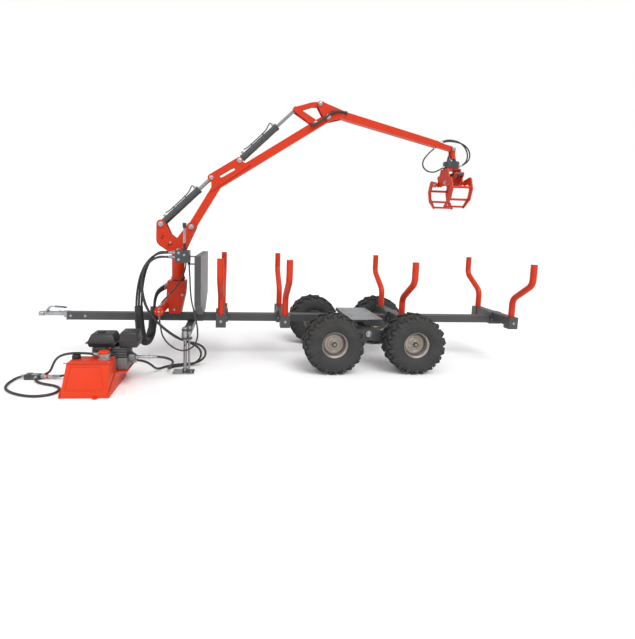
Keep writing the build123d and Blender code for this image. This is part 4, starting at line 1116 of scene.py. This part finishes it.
@dataclass
class EnginePackDetails:
    """Housings, caps, filter, starter, muffler and lines of the engine pack."""

    tank_top: float = 257.0
    tank_foot_y: float = -1180.0
    tank_top_y: float = -1120.0
    deck_top: float = 128.0
    filler: tuple[float, float] = (670.0, -1000.0)
    strainer: tuple[float, float] = (885.0, -1010.0)
    starter: tuple[float, float] = (850.0, 232.0)
    engine: tuple[float, float] = (890.0, -782.0)
    fins: int = 6

    def build(self, bench: Bench) -> None:
        """Makes the housings and the small pieces of the pack.

        Args:
            bench: The maker of pieces.
        """
        self._tank(bench)
        self._skid_and_engine(bench)
        self._hoods(bench)
        self._caps(bench)
        self._starter(bench)

    def _caps(self, bench: Bench) -> None:
        """Makes the caps, the filter bowl, the bolts and the muffler.

        Args:
            bench: The maker of pieces.
        """
        x, y = self.filler
        rib = bench.block((4, 6, 28), (x, y - 30, self.tank_top + 16), 1)
        bench.done([bench.lathe(((29, 0), (30, 4), (30, 30), (27, 36), (0.5, 38)), (x, y, self.tank_top), UP, 36),
                    bench.ring(rib, (x, y, 0), "Z", 18),
                    bench.lathe(((32, 0), (33, 3), (33, 9), (29, 12), (0.5, 13)), (812, -812, 428), UP, 32)],
                   "pack_caps", PLASTIC)
        bowl = ((52, 0), (52, 7), (43, 9), (43, 36), (50, 38), (50, 46), (0.5, 47))
        lid = ((0.5, 44), (42, 44), (44, 48), (44, 60), (37, 67), (0.5, 70))
        seat = Vector((*self.strainer, self.tank_top + 3))
        bench.done([bench.lathe(lid, seat, UP, 40)], "pack_filter_cap", TANK)
        steel = [bench.bolt((x, y, self.tank_top), UP, 7.5)
                 for x, y in ((650, -1090), (940, -1090), (940, -950), (730, -1090))]
        steel += [bench.bolt((x, -664, self.deck_top), UP, 10) for x in (720, 1048)]
        steel.append(bench.lathe(bowl, seat, UP, 40))
        steel += [bench.bolt(seat + Vector((46 * math.cos(turn), 46 * math.sin(turn), 45)), UP, 4.5)
                  for turn in (0.8, 2.37, 3.94, 5.5)]
        steel += bench.rods(((1040, -735, 168), (1052, -735, 168), 18, 6),
                            ((1040, -820, 222), (1089, -820, 222), 12.5, 24))
        muffler = ((0.5, 0), (38, 2), (43, 8), (43, 100), (38, 106), (0.5, 108))
        steel.append(bench.lathe(muffler, (992, -692, 356), NEAR, 32))
        bench.done(steel, "pack_hardware", ZINC)

    def _starter(self, bench: Bench) -> None:
        """Makes the starter's cover with its vanes, the plug lead and the switch.

        Args:
            bench: The maker of pieces.
        """
        x, height = self.starter
        cover = ((0.5, 22), (30, 22), (34, 18), (60, 16), (66, 10), (78, 6), (82, 0))
        vane = bench.block((4, 6, 34), (x, -922, height + 47), 1)
        lead = ((952, -938, 262), (952, -956, 268), (930, -960, 284), (890, -944, 306), (860, -920, 312))
        bench.done([bench.lathe(cover, (x, -904, height), NEAR, 48), bench.ring(vane, (x, -922, height), "Y", 20),
                    bench.block((60, 18, 14), (800, -922, 306), 5),
                    bench.rod((952, -912, 250), (952, -938, 262), 13, 20, 2, 10), bench.pipe(lead, 3.5),
                    *bench.blocks(((18, 14, 24), (870, -910, 318), 3), ((18, 14, 24), (905, -910, 318), 3))],
                   "pack_starter", PLASTIC)
        bench.done([bench.block((14, 10, 10), (905, -917, 322), 2)], "pack_switch", TANK)

    def _tank(self, bench: Bench) -> None:
        """Makes the tank with its leaning front, the raised border on it, the lid and the tab.

        Args:
            bench: The maker of pieces.
        """
        foot, top, high = self.tank_foot_y, self.tank_top_y, self.tank_top
        tank = bench.slab(((600, foot, 1), (955, foot, 1), (955, top, high), (635, top, high)), (0, 190, 0), 0)
        for vertex in tank.data.vertices:
            if vertex.co.y > -1.05:
                vertex.co.y = -0.931
        bench.soften(tank, 5)
        rise = Vector((0, top - foot, high))
        normal = Vector((0, -rise.z, rise.y)).normalized()
        border = [Vector((x, foot, 0)) + rise * (up / high) + normal
                  for x, up in ((632, 60), (918, 60), (892, 232), (668, 232))]
        pieces = [tank] + [bench.rod(start, end, 3.5, 10, 0.5) for start, end in zip(border, border[1:] + border[:1])]
        pieces += bench.blocks(((340, 12, 6), (786, -1124, high + 2), 2), ((300, 180, 5), (790, -1026, high + 2), 2))
        pieces.append(bench.slab(((840, -1180, 2), (884, -1180, 2), (878, -1206, 6), (846, -1206, 6)), (0, 0, 6), 1))
        bench.done(pieces, "pack_tank_shell", TANK, replaces="pack_tank", angle=25.0)

    def _skid_and_engine(self, bench: Bench) -> None:
        """Makes the skid's plates and the finned engine block.

        Args:
            bench: The maker of pieces.
        """
        side = ((-1180, 0.5), (-640, 0.5), (-640, 128), (-930, 128), (-950, 150), (-1180, 30))
        plates = [bench.slab([(x, y, height) for y, height in side], (8, 0, 0), 1) for x in (592, 955)]
        plates += bench.blocks(((435, 290, 8), (822, -785, 124), 2), ((348, 8, 60), (778, -646, 92), 2))
        bench.done(plates, "pack_skid_plates", TANK, replaces="pack_skid")
        metal = bench.blocks(((290, 240, 108), (*self.engine, 182), 16), ((220, 180, 88), (*self.engine, 276), 6),
                             *(((276, 226, 5.5), (*self.engine, 245 + 13 * fin), 1.5) for fin in range(self.fins)))
        metal += [bench.lathe(((0.5, 50), (26, 50), (34, 40), (40, 12), (40, 0)), (1036, -820, 222), REAR, 36),
                  bench.rod((1030, -735, 168), (1042, -735, 168), 22, 24)]
        bench.done(metal, "pack_engine_block", ENGINE, replaces="pack_engine")

    def _hoods(self, bench: Bench) -> None:
        """Makes the fuel tank and the air filter over the engine.

        Args:
            bench: The maker of pieces.
        """
        for middle, levels, seam, cap, name, node in (
                ((830, -800), ((319, 206, 178), (354, 226, 196), (366, 226, 196), (420, 178, 166), (430, 160, 148)),
                 ((355, 248, 216), (363, 248, 216)), (), "fuel_tank_shell", "pack_fuel_tank"),
                ((1045, -808), ((319, 140, 176), (366, 150, 186), (378, 146, 182), (436, 136, 170), (446, 120, 154)),
                 ((366, 157, 192), (374, 157, 192)), ((20, 0), (22, 2), (20, 6), (0.5, 9)), "air_filter_shell",
                 "pack_air_filter")):
            pieces = [bench.tiers(middle, levels), bench.tiers(middle, seam, 2)]
            if cap:
                pieces.append(bench.lathe(cap, (*middle, 444), UP, 24))
            bench.done(pieces, name, PLASTIC, replaces=node)


@dataclass
class SupportDetails:
    """Clamps, pins and the end caps of the outrigger, legs and slewing tube."""

    leg_x: float = 1465.0
    leg_y: float = 560.0
    far_lift: float = 255.0
    slew_x: float = 1205.0
    slew_height: float = 528.0
    slew_half: float = 400.0

    def build(self, bench: Bench) -> None:
        """Makes the clamps and caps of both sides.

        Args:
            bench: The maker of pieces.
        """
        dark, steel, caps = [], [], []
        x, y = self.leg_x, self.leg_y
        disc = ((0.5, 12), (36, 12), (40, 9), (44, 8), (44.5, 0), (44.5, -14))
        for hand in (-1, 1):
            side = FAR * hand
            steel.append(bench.bolt((x + 40, hand * (y + 30), 372), side, 10))
            end = Vector((self.slew_x, hand * (self.slew_half - 1), self.slew_height))
            caps.append(bench.lathe(disc, end, side, 40))
            steel += [bench.ring(bench.bolt(end + side * 10 + UP * 28, side, 6.5), end, "Y", 4),
                      bench.bolt(end + side * 10, side, 11)]
        sleeve = bench.lathe(((16.8, 0), (24, 2), (24, 118), (16.8, 120)), (x, -y, 301), UP, 36)
        guide = bench.rod((x + 42, -y, 301), (x + 42, -y, 428), 11, 24)
        bench.done([sleeve, guide], "leg_tubes_near", ZINC, replaces="leg_sleeve_near")
        for height in (318, 396):
            dark += [bench.lathe(((24.2, 0), (31, 1), (31, 18), (24.2, 19)), (x, -y, height - 9), UP, 36),
                     bench.block((36, 46, 18), (x + 44, -y, height), 3)]
        dark.append(bench.block((70, 12, 66), (x + 10, 30 - y, 338), 3))
        bench.done(dark, "leg_clamps", GREY)
        bench.done(steel, "leg_hardware", ZINC)
        bench.done(caps, "slew_tube_caps", ORANGE)
        for body, middle, lift in (("leg_near", -y, 0.0), ("leg_far", y, self.far_lift)):
            bench.done([bench.bolt((x + along, middle + depth, 12 + lift), UP, 8)
                        for along in (-82, 58) for depth in (-38, 38)], f"{body}_foot_bolts", ZINC, body)


@dataclass
class CouplingDetails:
    """Shell, handle grip and pins of the tow coupling, and the beam's front plate."""

    neck_low: float = 411.0
    pin: Point = (52.0, 33.0, 440.0)

    def build(self, bench: Bench) -> None:
        """Makes the small pieces at the front of the beam.

        Args:
            bench: The maker of pieces.
        """
        bench.done([bench.rod((120, 0, 497), (214, 0, 491), 10.5, 20, 3), bench.block((20, 38, 12), (222, 0, 490), 3)],
                   "coupling_grip", PLASTIC)
        cup = ((25.5, -20), (36, -20), (37, -14), (36.2, 6), (30, 17), (18, 21.5), (0.4, 22), (0.4, 12.5), (25, 11.5))
        side = ((30, -29), (100, -29), (150, -30), (240, -30), (240, 30), (150, 30), (100, 29), (30, 29))
        handle = ((26, 448), (44, 440), (84, 494), (222, 484), (222, 492), (80, 504), (64, 500))
        bench.done([bench.lathe(cup, ORIGIN, UP, 48, closed=True),
                    bench.slab([(x, y, self.neck_low) for x, y in side], (0, 0, 38), 5),
                    bench.slab([(x, -17, height) for x, height in handle], (0, 34, 0), 2),
                    bench.block((20, 74, 60), (228, 0, 424), 3)], "coupling_shell", ZINC, replaces="tow_coupling")
        x, y, height = self.pin
        bench.done([bench.rod((x, -y, height), (x, y, height), 7, 18), bench.bolt((x, -y, height), NEAR, 10),
                    bench.bolt((x, y, height), FAR, 10), bench.block((10, 84, 84), (243, 0, self.neck_low), 2)],
                   "coupling_pins", ZINC)


@dataclass
class CraneDetails:
    """Post collar, hose sleeve, grease points and rotator pieces of the crane."""

    collar: Point = (1330.0, 0.0, 790.0)
    motor_foot: float = 1990.0
    stud_circle: float = 66.0
    studs: int = 8

    def build(self, bench: Bench) -> None:
        """Makes the small pieces of post, jib and rotator.

        Args:
            bench: The maker of pieces.
        """
        collar = bench.lathe(((62.5, 0), (70, 3), (71, 24), (62.5, 28)), self.collar, UP, 48)
        bench.done([collar], "post_collar", ORANGE, "king_post")
        sleeve = bench.pipe(((2622, -58, 2340), (2690, -62, 2366), (2760, -64, 2418), (2826, -64, 2472),
                             (2900, -60, 2500), (2986, -44, 2488)), 11)
        bench.done([sleeve], "jib_hose_sleeve", HOSE, "jib")
        bench.done(bench.blocks(((26, 20, 34), (2980, -40, 2486), 3, (0, 0.24, 0)),
                                ((26, 20, 34), (2850, -54, 2484), 3, (0, -0.5, 0))), "jib_hose_clamps", PLASTIC, "jib")
        bench.done(bench.rods(((2803, 0, 2490), (2803, 0, 2504), 4.5, 10, 1, 3),
                              ((2760, 0, 2588), (2760, 0, 2602), 4.5, 10, 1, 3)), "jib_grease_points", ZINC, "jib")
        motor = ((79, 0), (80, 4), (80, 30), (74, 36), (60, 38))
        bands = [bench.lathe(motor, (TIP_X, 0, self.motor_foot), UP, 48)]
        bands += [bench.rod((TIP_X + side * 60, -20 * side, 2040), (TIP_X + side * 76, -20 * side, 2040), 13, 6)
                  for side in (-1, 1)]
        bench.done(bands, "rotator_housing", CYLINDER, "rotator")
        stud = bench.bolt((TIP_X + self.stud_circle, 0, self.motor_foot + 38), UP, 7)
        bench.done([bench.ring(stud, (TIP_X, 0, 0), "Z", self.studs)], "rotator_studs", ZINC, "rotator")


NODE_FINISHES = {
    ORANGE: ("crane_base", "king_post", "main_boom", "jib", "lower_link", "upper_link", "hanger", "grapple_frame",
             "jaw_near", "jaw_far", "stakes"),
    GREY: ("main_beam", "bolster_front", "bolster_second", "bolster_third", "bolster_rear", "headboard",
           "axle_beam", "bogie_near", "bogie_far", "outrigger_beam"),
    ZINC: ("tow_coupling", "axle_carrier", "leg_sleeve_near", "leg_sleeve_far"),
    CHROME: ("lift_rod", "jib_rod", "grapple_rod", "leg_near", "leg_far"),
    CYLINDER: ("lift_barrel", "jib_barrel", "grapple_barrel", "rotator", "valve_block"),
    TANK: ("pack_tank", "pack_skid"),
    ENGINE: ("pack_engine",),
    PLASTIC: ("pack_fuel_tank", "pack_air_filter", "control_levers"),
}
NODE_KINDS = (("tyre_", RUBBER), ("rim_", RIM))


def main() -> None:
    """Builds the scene in order and reports each step."""
    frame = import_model()
    bpy.ops.object.select_all(action="DESELECT")
    bpy.context.scene.view_settings.view_transform = "Standard"
    PhotoCamera().build()
    bench = Bench()
    dressed = {name: finish for finish, names in NODE_FINISHES.items() for name in names}
    for name, node in frame["nodes"].items():
        by_kind = [finish for start, finish in NODE_KINDS if name.startswith(start)]
        bench.dress(node, dressed.get(name) or by_kind[0])
    LOG.info("CAD nodes dressed")
    for name, part in (("hoses", HoseSet()), ("grapple hoses", GrappleHoses()), ("wheels", Wheels()),
                       ("fasteners", Fasteners()), ("plumbing", Plumbing()), ("controls", ControlStation()),
                       ("engine pack", EnginePackDetails()), ("supports", SupportDetails()),
                       ("coupling", CouplingDetails()), ("crane", CraneDetails())):
        part.build(bench)
        LOG.info("%s done", name)
    Studio().build()


if __name__ == "__main__":
    main()
